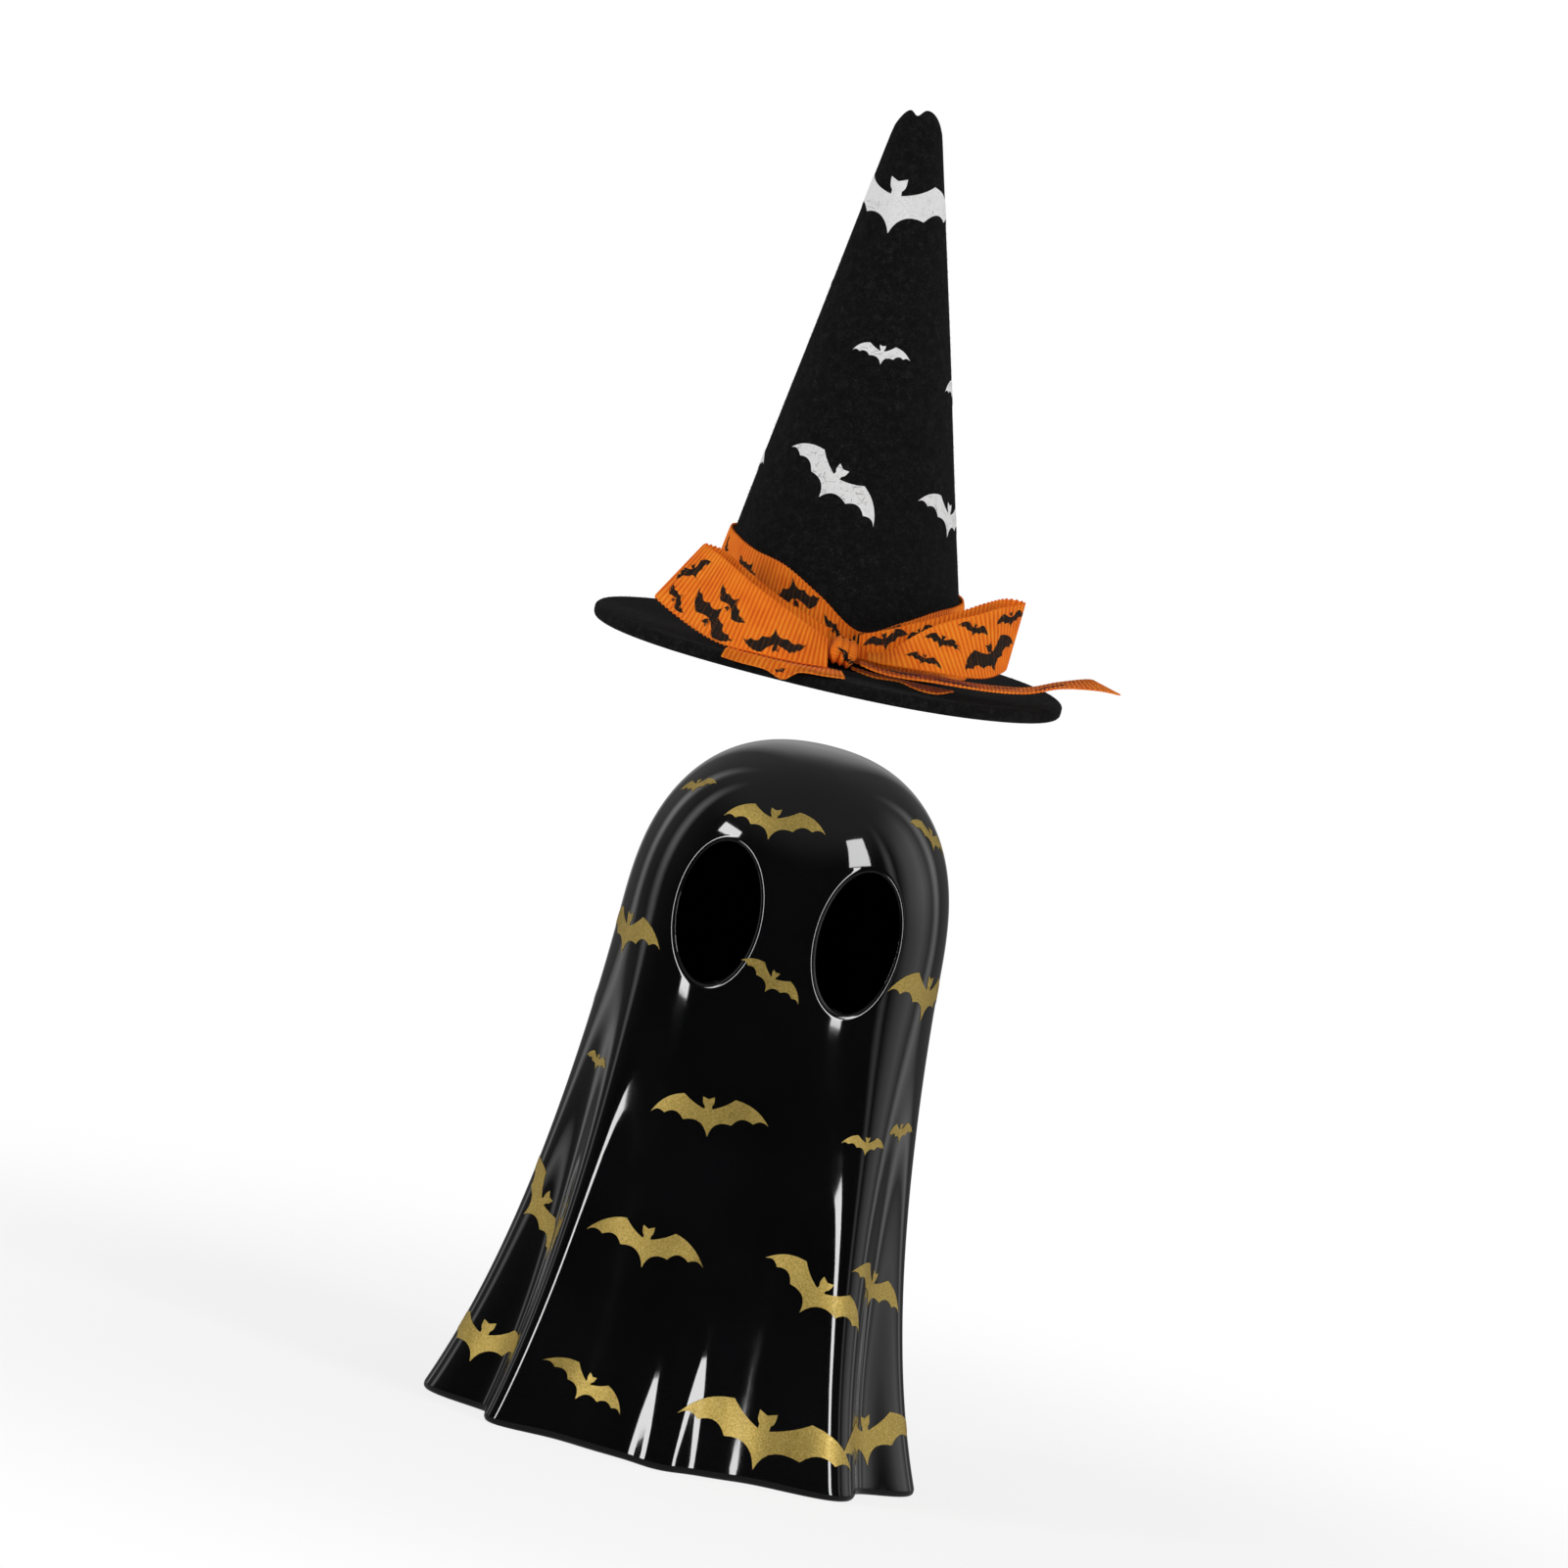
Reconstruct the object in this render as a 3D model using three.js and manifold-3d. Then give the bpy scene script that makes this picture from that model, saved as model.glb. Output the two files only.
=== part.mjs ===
// Light-up ghost figure: a draped ceramic ghost with a battery light in its base, and a felt
// witch hat held straight above its head. Millimetres, +Z up, the ghost faces -Y, and the
// origin is at the middle of the foot that it stands on.
import * as THREE from "three";
import { mergeVertices } from "three/addons/utils/BufferGeometryUtils.js";
import Module from "manifold-3d";

const wasm = await Module();
wasm.setup();

// Fits
const gap = 0.3; // between pieces that seat on each other
const slideGap = 0.3; // round a piece that moves

// Ghost body
const ghostHeight = 150;
const headRadius = 33.95; // where the dome meets the skirt
const domeHeight = 42;
const domeFullness = 2.37; // exponent of the dome's outline, where 2 is an ellipse
const skirtFlare = 5.6; // how far the valleys of the skirt stand out at the hem
const skirtFlarePower = 4.3;
const wall = 3.5;
const foldStart = 32; // how far below the crown the folds begin
const foldPower = 1.68;
const hemRound = 1.8;
const folds = [
  { at: -53, height: 8.8, spread: 10.1 },
  { at: 50.4, height: 9.5, spread: 14.8 },
  { at: -89, height: 13.6, spread: 16 },
  { at: 88, height: 13.6, spread: 16 },
  { at: -134, height: 8.5, spread: 14 },
  { at: 133, height: 8.2, spread: 14 },
  { at: 181, height: 6.5, spread: 17 },
  { at: -3, height: 3.3, spread: 7.9 },
  { at: 27, height: -0.9, spread: 10 },
]; // degrees round from the front, millimetres at the hem, degrees

// Eyes
const eyeDrop = 35.6; // from the crown down to the eye's centre
const eyeOffset = 14.8;
const eyeHalfWidth = 8.2;
const eyeHalfHeight = 14.7;
const socketDepth = 0.8; // the glaze dips towards each eye
const socketSpread = 6;

// Base of the ghost
const footRing = 31; // inner radius of the ring that it stands on
const baseRecess = 2.5;
const baseFloor = 4;

// Light unit
const unitRecess = 1; // its face above the table
const housingRadius = 17.5;
const housingWall = 1.5;
const housingHeight = 16;
const bottomPlate = 1.6;
const ringThickness = 1.9;
const ringLip = 2.5; // how far the silicone ring laps over the floor, above and below
const lipThickness = 1;
const beadHeight = 0.7;
const cellRadius = 5.8;
const cellHeight = 5.4;
const cellRound = 0.5;
const cellSpacing = 0.3;
const contactThickness = 0.4;
const contactRise = 1;
const contactWidth = 3.4;
const deckThickness = 1.2;
const deckRim = 1.2;
const deckRimWall = 0.8;
const boardThickness = 1.2;
const lampRadius = 2.5;
const lampHeight = 8.6;
const lampFlange = 0.45;
const resistorRadius = 1.1;
const resistorLength = 5;
const resistorOffset = 8;
const domeWall = 1.2;
const domeRise = 9.5;

// Battery door and its tongue
const doorMargin = 2.7; // from the housing's inner wall to the door's edge
const plateRib = 1.3; // left between the door and the switch's slot
const tongueWidth = 6;
const tongueReach = 1.5;
const tongueThickness = 1;
const nailNotchRadius = 2.6;
const nailNotchDepth = 0.9;

// Screws that hold the deck down
const screwInset = 3.1; // from the housing's inner wall to the screw's axis
const screwRadius = 0.9;
const screwHeadRadius = 1.7;
const screwHeadHeight = 0.8;
const screwLength = 6;
const bossWall = 0.9;
const bossHeight = 7;

// Pins that carry the current up to the board
const pinRadius = 0.8;
const pinInset = 3.3; // from the screw's axis to the pin's, along one radius

// Slide switch
const switchInset = 0.5; // between the switch's corners and the housing's wall
const switchLength = 8.5;
const switchDepth = 3.7;
const switchHeight = 3.5;
const switchSkin = 0.4;
const switchTravel = 2.5;
const knobLength = 2;
const knobWidth = 1.6;
const knobRecess = 0.3; // the knob ends this far inside the plate's face
const leadRadius = 0.5;
const leadSpread = 2.2;

// Felt hat
const feltThickness = 2;
const brimThickness = 3;
const brimRadius = 49.8;
const brimRound = 1.1;
const coneRadius = 28.2;
const coneHeight = 109.6; // to where the tip rounds over
const tipRadius = 5.2;
const tipLobe = 1.3; // depth of the notch between the tip's two lobes
const tipRise = 4.8; // how far the lobes stand above the cone's end
const notchSide = 0.85; // from the tip's middle
const notchWidth = 1.1;
const hatLean = 5.9; // how far the tip leans to the ghost's right hand
const hatLift = 27.8; // the hat is held this far above its seat
const hatSide = 3.3; // and this far to the ghost's right hand of it

// Ribbon
const ribbonWidth = 16;
const ribbonThickness = 0.5;
const knotWidth = 6.2;
const knotDepth = 13.2;
const knotHeight = 6.6;
const knotSide = 1.6; // from the hat's middle plane
const bandSteps = 48;
const loopSteps = 36;
const tailSteps = 14;

const foldTop = ghostHeight - foldStart;
const shoulder = ghostHeight - domeHeight;
const eyeHeight = ghostHeight - eyeDrop;
const degree = Math.PI / 180;

const ceramic = new THREE.MeshStandardMaterial({ color: 0x0a0a0b, roughness: 0.08 });
const silicone = new THREE.MeshStandardMaterial({ color: 0xd8d8d4, roughness: 0.6 });
const whitePlastic = new THREE.MeshStandardMaterial({ color: 0xe9e8e2, roughness: 0.45 });
const frostedPlastic = new THREE.MeshStandardMaterial({ color: 0xf3efe2, roughness: 0.7 });
const blackPlastic = new THREE.MeshStandardMaterial({ color: 0x16161a, roughness: 0.4 });
const boardGreen = new THREE.MeshStandardMaterial({ color: 0x1f5a34, roughness: 0.5 });
const lampClear = new THREE.MeshStandardMaterial({ color: 0xf2e6c4, roughness: 0.1 });
const resistorTan = new THREE.MeshStandardMaterial({ color: 0xc7a877, roughness: 0.5 });
const steel = new THREE.MeshStandardMaterial({ color: 0xb9bcc0, roughness: 0.25, metalness: 1 });
const brass = new THREE.MeshStandardMaterial({ color: 0xb99a52, roughness: 0.3, metalness: 1 });
const leadRed = new THREE.MeshStandardMaterial({ color: 0xa01818, roughness: 0.5 });
const felt = new THREE.MeshStandardMaterial({ color: 0x0d0d0e, roughness: 0.95 });
const ribbonOrange = new THREE.MeshStandardMaterial({ color: 0xe66a0c, roughness: 0.6 });

// Joins and cuts
function toSolid(geometry) {
  const bare = geometry.clone();
  bare.deleteAttribute("normal");
  bare.deleteAttribute("uv");
  const merged = mergeVertices(bare, 1e-4);
  return new wasm.Manifold(
    new wasm.Mesh({
      numProp: 3,
      vertProperties: merged.attributes.position.array,
      triVerts: new Uint32Array(merged.index.array),
    }),
  );
}

function toGeometry(solid) {
  const mesh = solid.getMesh();
  const geometry = new THREE.BufferGeometry();
  geometry.setAttribute("position", new THREE.BufferAttribute(mesh.vertProperties, mesh.numProp));
  geometry.setIndex(new THREE.BufferAttribute(mesh.triVerts, 1));
  geometry.computeVertexNormals();
  return geometry;
}

function cut(body, ...cutters) {
  return toGeometry(cutters.reduce((solid, cutter) => solid.subtract(toSolid(cutter)), toSolid(body)));
}

function join(...pieces) {
  return toGeometry(pieces.map(toSolid).reduce((sum, solid) => sum.add(solid)));
}

// A turned solid from [radius, height] points, up the outside and anticlockwise where it closes
function turned(profile, segments) {
  const points = profile.map(([radius, height]) => new THREE.Vector2(radius, height));
  return new THREE.LatheGeometry(points, segments).rotateX(Math.PI / 2);
}

function disc(radius, low, high, segments) {
  return turned([[0, low], [radius, low], [radius, high], [0, high]], segments);
}

function block(sizeX, sizeY, sizeZ, x, y, z) {
  return new THREE.BoxGeometry(sizeX, sizeY, sizeZ).translate(x, y, z);
}

function plate(shape, low, high, curveSegments) {
  const depth = high - low;
  const options = { depth, bevelEnabled: false, curveSegments };
  return new THREE.ExtrudeGeometry(shape, options).translate(0, 0, low);
}

// A closed skin over rings of points that run from the first pole, over every ring, to the last
// pole. Each ring goes anticlockwise seen from above, and the outside comes first, from the top.
function skin(firstPole, rings, lastPole) {
  const count = rings[0].length;
  const points = [firstPole, ...rings.flat(), lastPole];
  const faces = [];
  const at = (ring, j) => 1 + ring * count + (j % count);
  for (let j = 0; j < count; j++) {
    faces.push(0, at(0, j), at(0, j + 1));
    faces.push(at(rings.length - 1, j), points.length - 1, at(rings.length - 1, j + 1));
    for (let ring = 0; ring + 1 < rings.length; ring++) {
      faces.push(at(ring, j), at(ring + 1, j), at(ring + 1, j + 1));
      faces.push(at(ring, j), at(ring + 1, j + 1), at(ring, j + 1));
    }
  }
  return new THREE.BufferGeometry().setFromPoints(points).setIndex(faces);
}

// Ghost body: its radius at an angle (degrees round from the front) and a height
function domeRadius(radius, rise, height) {
  const share = Math.min(1, Math.max(0, height / rise));
  return radius * (1 - share ** domeFullness) ** (1 / domeFullness);
}

function coreRadius(z) {
  if (z >= shoulder) return domeRadius(headRadius, domeHeight, z - shoulder);
  return headRadius + skirtFlare * ((shoulder - z) / shoulder) ** skirtFlarePower;
}

function foldHeight(angle, z) {
  const fade = Math.max(0, (foldTop - z) / foldTop) ** foldPower;
  const sum = folds.reduce((total, fold) => {
    const turn = ((angle - fold.at + 540) % 360) - 180;
    return total + fold.height * Math.exp(-((turn / fold.spread) ** 2));
  }, 0);
  return fade * sum;
}

function socketDip(angle, z) {
  if (Math.cos(angle * degree) <= 0) return 0;
  const x = coreRadius(z) * Math.sin(angle * degree);
  const across = (Math.abs(x) - eyeOffset) / (eyeHalfWidth + socketSpread);
  const along = (z - eyeHeight) / (eyeHalfHeight + socketSpread);
  return socketDepth * Math.exp(-(across ** 2) * 2 - along ** 2 * 2);
}

function bodyRadius(angle, z) {
  return coreRadius(z) + foldHeight(angle, z) - socketDip(angle, z);
}

// The height at which the bare dome has a radius
function domeHeightAt(radius) {
  return shoulder + domeHeight * (1 - (radius / headRadius) ** domeFullness) ** (1 / domeFullness);
}

const holeRadius = housingRadius + ringThickness + 2 * gap;
const floorTop = baseRecess + baseFloor;
const ghostSegments = 72;

function ghostRing(radiusAt, z) {
  return Array.from({ length: ghostSegments }, (_, j) => {
    const angle = (j * 360) / ghostSegments;
    const radius = radiusAt(angle);
    return new THREE.Vector3(radius * Math.sin(angle * degree), -radius * Math.cos(angle * degree), z);
  });
}

function ghostShell() {
  const rings = [];
  const domeRings = 8;
  const skirtRings = 10;
  const hemRings = 3;
  const innerDomeRings = 5;
  const innerSkirtRings = 5;
  const innerFillet = 3;
  for (let i = 1; i <= domeRings; i++) {
    const lean = (i / domeRings) * 90 * degree;
    const z = shoulder + domeHeight * Math.cos(lean) ** (2 / domeFullness);
    rings.push(ghostRing((angle) => bodyRadius(angle, z), z));
  }
  for (let i = 1; i <= skirtRings; i++) {
    const z = shoulder + (hemRound - shoulder) * (i / skirtRings);
    rings.push(ghostRing((angle) => bodyRadius(angle, z), z));
  }
  for (let i = 1; i <= hemRings; i++) {
    const turn = (i / hemRings) * 90 * degree;
    const z = hemRound * (1 - Math.sin(turn));
    const inset = hemRound * (1 - Math.cos(turn));
    rings.push(ghostRing((angle) => bodyRadius(angle, z) - inset, z));
  }
  rings.push(ghostRing(() => footRing, 0));
  rings.push(ghostRing(() => footRing - baseRecess / 2, baseRecess));
  rings.push(ghostRing(() => holeRadius, baseRecess));
  rings.push(ghostRing(() => holeRadius, floorTop));
  rings.push(ghostRing((angle) => bodyRadius(angle, floorTop) - wall - innerFillet, floorTop));
  for (let i = 0; i <= innerSkirtRings; i++) {
    const z = floorTop + innerFillet + (shoulder - floorTop - innerFillet) * (i / innerSkirtRings);
    rings.push(ghostRing((angle) => bodyRadius(angle, z) - wall, z));
  }
  for (let i = innerDomeRings - 1; i >= 1; i--) {
    const lean = (i / innerDomeRings) * 90 * degree;
    const z = shoulder + (domeHeight - wall) * Math.cos(lean) ** (2 / domeFullness);
    const radius = domeRadius(headRadius - wall, domeHeight - wall, z - shoulder);
    rings.push(ghostRing(() => radius, z));
  }
  const top = new THREE.Vector3(0, 0, ghostHeight);
  const innerTop = new THREE.Vector3(0, 0, ghostHeight - wall);
  return cut(skin(top, rings, innerTop), eyeCutter(-1), eyeCutter(1));
}

// An oval bar through the front wall, straight back
function eyeCutter(side) {
  const outline = new THREE.Shape().absellipse(0, 0, eyeHalfWidth, eyeHalfHeight, 0, 2 * Math.PI);
  const depth = 2 * headRadius;
  const bar = new THREE.ExtrudeGeometry(outline, { depth, bevelEnabled: false, curveSegments: 40 });
  return bar.rotateX(Math.PI / 2).translate(side * eyeOffset, 0, eyeHeight);
}

// Light unit, in heights above the table
const unitSegments = 32;
const unitFace = unitRecess;
const plateTop = unitFace + bottomPlate;
const housingInner = housingRadius - housingWall;
const housingTop = unitFace + housingHeight;
const tongueLow = plateTop + gap;
const tongueTop = tongueLow + tongueThickness;
const cellLow = tongueTop + contactThickness;
const cellTop = cellLow + cellHeight;
const upperContact = cellTop + gap;
const deckLow = upperContact + contactRise + gap;
const deckTop = deckLow + deckThickness;
const boardLow = deckTop + deckRim + gap;
const boardTop = boardLow + boardThickness;
const cellOrbit = (2 * cellRadius + cellSpacing) / Math.sqrt(3);
const cellAngles = [180, 60, 300];
const screwAngles = [120, 240];
const hingeAngle = 300;
const notchAngle = 120;
const terminalAngle = 240;
const switchOffset = Math.sqrt(housingInner ** 2 - (switchLength / 2) ** 2) - switchInset - switchDepth / 2;
const doorRadius = housingInner - doorMargin;
const doorFlat = switchOffset - knobWidth / 2 - 2 * slideGap - plateRib; // to the door's straight side
const screwOffset = housingInner - screwInset;
const terminalOffset = screwOffset - pinInset;

function polar(radius, angle) {
  return [radius * Math.cos(angle * degree), radius * Math.sin(angle * degree)];
}

// A circle with one straight side, which faces the switch
function flattenedCircle(radius, flat) {
  const corner = Math.acos(flat / radius);
  const shape = new THREE.Shape();
  shape.absarc(0, 0, radius, corner, 2 * Math.PI - corner, false);
  shape.closePath();
  return shape;
}

function retainingRing() {
  const inner = housingRadius + gap;
  const outer = holeRadius - gap;
  const low = baseRecess - gap - lipThickness;
  const high = floorTop + gap + lipThickness;
  const profile = [
    [inner, low],
    [outer + ringLip, low],
    [outer + ringLip, low + lipThickness],
    [outer, low + lipThickness],
    [outer, high - lipThickness],
    [outer + ringLip / 2, high - lipThickness],
    [outer, high],
    [inner, high],
    [inner, low],
  ];
  return turned(profile, unitSegments);
}

function lightHousing() {
  const beadLow = floorTop + lipThickness + 2 * gap;
  const profile = [
    [0, unitFace],
    [housingRadius, unitFace],
    [housingRadius, beadLow],
    [housingRadius + beadHeight, beadLow + beadHeight],
    [housingRadius, beadLow + 2 * beadHeight],
    [housingRadius, housingTop],
    [housingInner, housingTop],
    [housingInner, plateTop],
    [0, plateTop],
  ];
  const margin = 1;
  const doorway = flattenedCircle(doorRadius + slideGap, doorFlat + slideGap);
  const doorwayCut = plate(doorway, unitFace - margin, plateTop + margin, 36);
  const slotLength = knobLength + switchTravel + 2 * slideGap;
  const slotHeight = bottomPlate + 2 * margin;
  const slotMiddle = (unitFace + plateTop) / 2;
  const slot = block(knobWidth + 2 * slideGap, slotLength, slotHeight, switchOffset, 0, slotMiddle);
  const cup = cut(turned(profile, unitSegments), doorwayCut, slot, nailNotch());
  const bosses = screwAngles.map(screwBoss);
  return cut(join(cup, ...bosses), ...screwAngles.map(screwPilot));
}

// A boss stands under the deck on a web from the housing's wall
function screwBoss(angle) {
  const high = deckLow - gap;
  const radius = screwRadius + gap + bossWall;
  const post = disc(radius, high - bossHeight, high, 16);
  const webEnd = housingInner + housingWall / 2;
  const webLength = webEnd - screwOffset;
  const web = block(webLength, 2 * bossWall, bossHeight, webLength / 2, 0, high - bossHeight / 2);
  return join(post, web)
    .translate(screwOffset, 0, 0)
    .rotateZ(angle * degree);
}

function screwPilot(angle) {
  const margin = 1;
  const low = deckTop - screwLength - gap;
  return disc(screwRadius + gap, low, deckTop + margin, 16).translate(...polar(screwOffset, angle), 0);
}

// A dip at the door's edge for a fingernail
function nailNotch() {
  const margin = 1;
  const dip = disc(nailNotchRadius, unitFace - margin, unitFace + nailNotchDepth, 20);
  return dip.translate(...polar(doorRadius, notchAngle), 0);
}

function batteryDeck() {
  const outer = housingInner - gap;
  const rimInner = outer - deckRimWall;
  const rimTop = deckTop + deckRim;
  const profile = [
    [0, deckLow],
    [outer, deckLow],
    [outer, rimTop],
    [rimInner, rimTop],
    [rimInner, deckTop],
    [0, deckTop],
  ];
  const margin = 1;
  const hole = (radius, x, y) => {
    return disc(radius + gap, deckLow - margin, deckTop + margin, 12).translate(x, y, 0);
  };
  const leadHole = (side) => hole(leadRadius, switchOffset, side * leadSpread);
  const pinHole = ([x, y]) => hole(pinRadius, x, y);
  return cut(
    turned(profile, unitSegments),
    leadHole(-1),
    leadHole(1),
    pinHole([0, 0]),
    pinHole(polar(terminalOffset, terminalAngle)),
    ...screwAngles.map(screwPilot),
  );
}

// A pan-headed screw with a cross slot
function deckScrew(angle) {
  const headLow = deckTop + gap;
  const headTop = headLow + screwHeadHeight;
  const profile = [
    [0, deckTop - screwLength],
    [screwRadius, deckTop - screwLength + screwRadius],
    [screwRadius, headLow],
    [screwHeadRadius, headLow],
    [screwHeadRadius, headTop - 0.25],
    [screwHeadRadius * 0.8, headTop],
    [0, headTop],
  ];
  const slotDepth = 0.35;
  const slotWidth = 0.5;
  const slotLength = 2.2;
  const cross = [
    block(slotLength, slotWidth, 2 * slotDepth, 0, 0, headTop),
    block(slotWidth, slotLength, 2 * slotDepth, 0, 0, headTop),
  ];
  return cut(turned(profile, 16), ...cross).translate(...polar(screwOffset, angle), 0);
}

function circuitBoard() {
  return disc(housingInner - 2 * gap, boardLow, boardTop, unitSegments);
}

function ledLamp() {
  const low = boardTop + gap;
  const flangeTop = low + 1;
  const roundFrom = low + lampHeight - lampRadius;
  const profile = [
    [0, low],
    [lampRadius + lampFlange, low],
    [lampRadius + lampFlange, flangeTop],
    [lampRadius, flangeTop],
  ];
  const arcSteps = 5;
  for (let i = 0; i <= arcSteps; i++) {
    const lean = (i / arcSteps) * 90 * degree;
    profile.push([lampRadius * Math.cos(lean), roundFrom + lampRadius * Math.sin(lean)]);
  }
  profile[profile.length - 1][0] = 0;
  return turned(profile, 20);
}

// A waisted body with a wire out of each end, lying on the board
function resistorBody() {
  const half = resistorLength / 2;
  const wireRadius = 0.25;
  const wireReach = 1.6;
  const waist = resistorRadius * 0.82;
  const profile = [
    [0, -half - wireReach],
    [wireRadius, -half - wireReach],
    [wireRadius, -half],
    [resistorRadius * 0.8, -half],
    [resistorRadius, -half * 0.8],
    [waist, -half * 0.5],
    [waist, half * 0.5],
    [resistorRadius, half * 0.8],
    [resistorRadius * 0.8, half],
    [wireRadius, half],
    [wireRadius, half + wireReach],
    [0, half + wireReach],
  ];
  return turned(profile, 12)
    .rotateX(Math.PI / 2)
    .translate(resistorOffset, 0, boardTop + gap + resistorRadius);
}

// A frosted dome whose spigot drops into the mouth of the housing
function diffuserDome() {
  const base = housingTop + gap;
  const spigot = housingInner - gap;
  const outer = housingRadius - domeWall / 2;
  const profile = [
    [spigot - domeWall, boardTop + gap],
    [spigot, boardTop + gap],
    [spigot, base],
    [housingRadius, base],
    [housingRadius, base + domeWall],
  ];
  const arcSteps = 5;
  for (let i = 0; i <= arcSteps; i++) {
    const lean = (i / arcSteps) * 90 * degree;
    profile.push([outer * Math.cos(lean), base + domeWall + domeRise * Math.sin(lean)]);
  }
  profile[profile.length - 1][0] = 0;
  for (let i = arcSteps; i >= 0; i--) {
    const lean = (i / arcSteps) * 90 * degree;
    const radius = (spigot - domeWall) * Math.cos(lean);
    profile.push([i === arcSteps ? 0 : radius, base + domeRise * Math.sin(lean)]);
  }
  profile.push(profile[0]);
  return turned(profile, unitSegments);
}

function cell(angle) {
  const profile = [
    [0, cellLow],
    [cellRadius - 2 * cellRound, cellLow],
    [cellRadius - cellRound, cellLow + cellRound],
    [cellRadius, cellLow + 2 * cellRound],
    [cellRadius, cellTop - cellRound],
    [cellRadius - cellRound, cellTop],
    [0, cellTop],
  ];
  return turned(profile, 20).translate(...polar(cellOrbit, angle), 0);
}

// A leaf spring along X, flat in the middle, whose two ends rise to the cells
function leafContact(length, rise) {
  const steps = 8;
  const upper = [];
  const lower = [];
  for (let i = 0; i <= steps; i++) {
    const along = (i / steps - 0.5) * length;
    const lift = (rise - contactThickness) * Math.cos((i / steps) * Math.PI) ** 2;
    lower.push(new THREE.Vector2(along, lift));
    upper.unshift(new THREE.Vector2(along, lift + contactThickness));
  }
  const strip = new THREE.ExtrudeGeometry(new THREE.Shape([...lower, ...upper]), {
    depth: contactWidth,
    bevelEnabled: false,
  });
  return strip.translate(0, 0, -contactWidth / 2).rotateX(Math.PI / 2);
}

// A leaf that joins two points of the unit at one height
function leafBetween(start, end, rise, low) {
  const span = Math.hypot(end[0] - start[0], end[1] - start[1]);
  const heading = Math.atan2(end[1] - start[1], end[0] - start[0]);
  return leafContact(span, rise)
    .rotateZ(heading)
    .translate((start[0] + end[0]) / 2, (start[1] + end[1]) / 2, low);
}

const lowerContactLow = plateTop + gap;
const lowerContactRise = cellLow - gap - lowerContactLow;

function terminalPin() {
  const low = lowerContactLow + lowerContactRise + gap;
  return disc(pinRadius, low, boardLow - gap, 12).translate(...polar(terminalOffset, terminalAngle), 0);
}

function positivePin() {
  return disc(pinRadius, upperContact + contactThickness + gap, boardLow - gap, 12);
}

function upperLeaf(start, end) {
  const leaf = leafBetween(start, end, contactRise, 0);
  return leaf.rotateX(Math.PI).translate(0, 0, upperContact + contactRise);
}

function switchFrame() {
  const low = plateTop + gap;
  const skinned = block(switchDepth, switchLength, switchHeight, 0, 0, low + switchHeight / 2);
  const chamberLength = carriageLength + switchTravel + 2 * slideGap;
  const chamberWidth = switchDepth - 2 * switchSkin;
  const chamber = block(
    chamberWidth,
    chamberLength,
    carriageHeight + 2 * slideGap,
    0,
    0,
    low + switchSkin + slideGap + carriageHeight / 2,
  );
  const slotLength = knobLength + switchTravel + 2 * slideGap;
  const slot = block(knobWidth + 2 * slideGap, slotLength, 4 * switchSkin, 0, 0, low);
  return cut(skinned, chamber, slot).translate(switchOffset, 0, 0);
}

const carriageLength = 3.4;
const carriageHeight = 1.4;

// The knob reaches down through the plate from a carriage inside the frame
function switchSlider() {
  const carriageLow = plateTop + gap + switchSkin + slideGap;
  const carriageWidth = switchDepth - 2 * switchSkin - 2 * slideGap;
  const knobLow = unitFace + knobRecess;
  const knobTop = carriageLow + carriageHeight / 2;
  const carriage = block(carriageWidth, carriageLength, carriageHeight, 0, 0, knobTop);
  const knob = block(knobWidth, knobLength, knobTop - knobLow, 0, 0, (knobTop + knobLow) / 2);
  return join(carriage, knob).translate(switchOffset, -switchTravel / 2, 0);
}

function switchLead(side) {
  const low = plateTop + 2 * gap + switchHeight;
  return disc(leadRadius, low, boardLow - gap, 10).translate(switchOffset, side * leadSpread, 0);
}

// The door's tongue hooks over the plate, and the door turns down about that edge
function batteryDoor() {
  const margin = 1;
  const panel = plate(flattenedCircle(doorRadius, doorFlat), unitFace, plateTop, 36);
  const rootInset = 0.5;
  const rootLength = 2;
  const tongueHeight = tongueTop - plateTop + margin;
  const tongueRoot = block(
    rootLength - rootInset,
    tongueWidth,
    tongueHeight,
    doorRadius - (rootLength + rootInset) / 2,
    0,
    tongueTop - tongueHeight / 2,
  );
  const tongueLength = rootLength + tongueReach;
  const tongueMiddle = doorRadius + (tongueReach - rootLength) / 2;
  const tongueTip = block(
    tongueLength,
    tongueWidth,
    tongueThickness,
    tongueMiddle,
    0,
    tongueLow + tongueThickness / 2,
  );
  const tongue = join(tongueRoot, tongueTip).rotateZ(hingeAngle * degree);
  return cut(join(panel, tongue), nailNotch());
}

// Hat, in heights above the middle of the brim
const brimTop = brimThickness / 2;
const coneFoot = brimTop + gap;
const coneInner = coneRadius - feltThickness;
const hatSegments = 40;

function coneRadiusAt(share) {
  return coneRadius + (tipRadius - coneRadius) * share;
}

function coneLeanAt(share) {
  return -hatLean * share;
}

function coneRing(share, inset, height) {
  const radius = coneRadiusAt(share) - inset;
  return Array.from({ length: hatSegments }, (_, j) => {
    const angle = (j / hatSegments) * 2 * Math.PI;
    const x = coneLeanAt(share) + radius * Math.sin(angle);
    return new THREE.Vector3(x, -radius * Math.cos(angle), height);
  });
}

// The pinched tip: rings that close over it, with a notch between two lobes
function tipRing(radius, rise) {
  const top = coneFoot + coneHeight;
  return Array.from({ length: hatSegments }, (_, j) => {
    const angle = (j / hatSegments) * 2 * Math.PI;
    const x = radius * Math.sin(angle);
    const dip = tipLobe * Math.exp(-(((x + notchSide) / notchWidth) ** 2));
    return new THREE.Vector3(coneLeanAt(1) + x, -radius * Math.cos(angle), top + rise - dip);
  });
}

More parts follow.
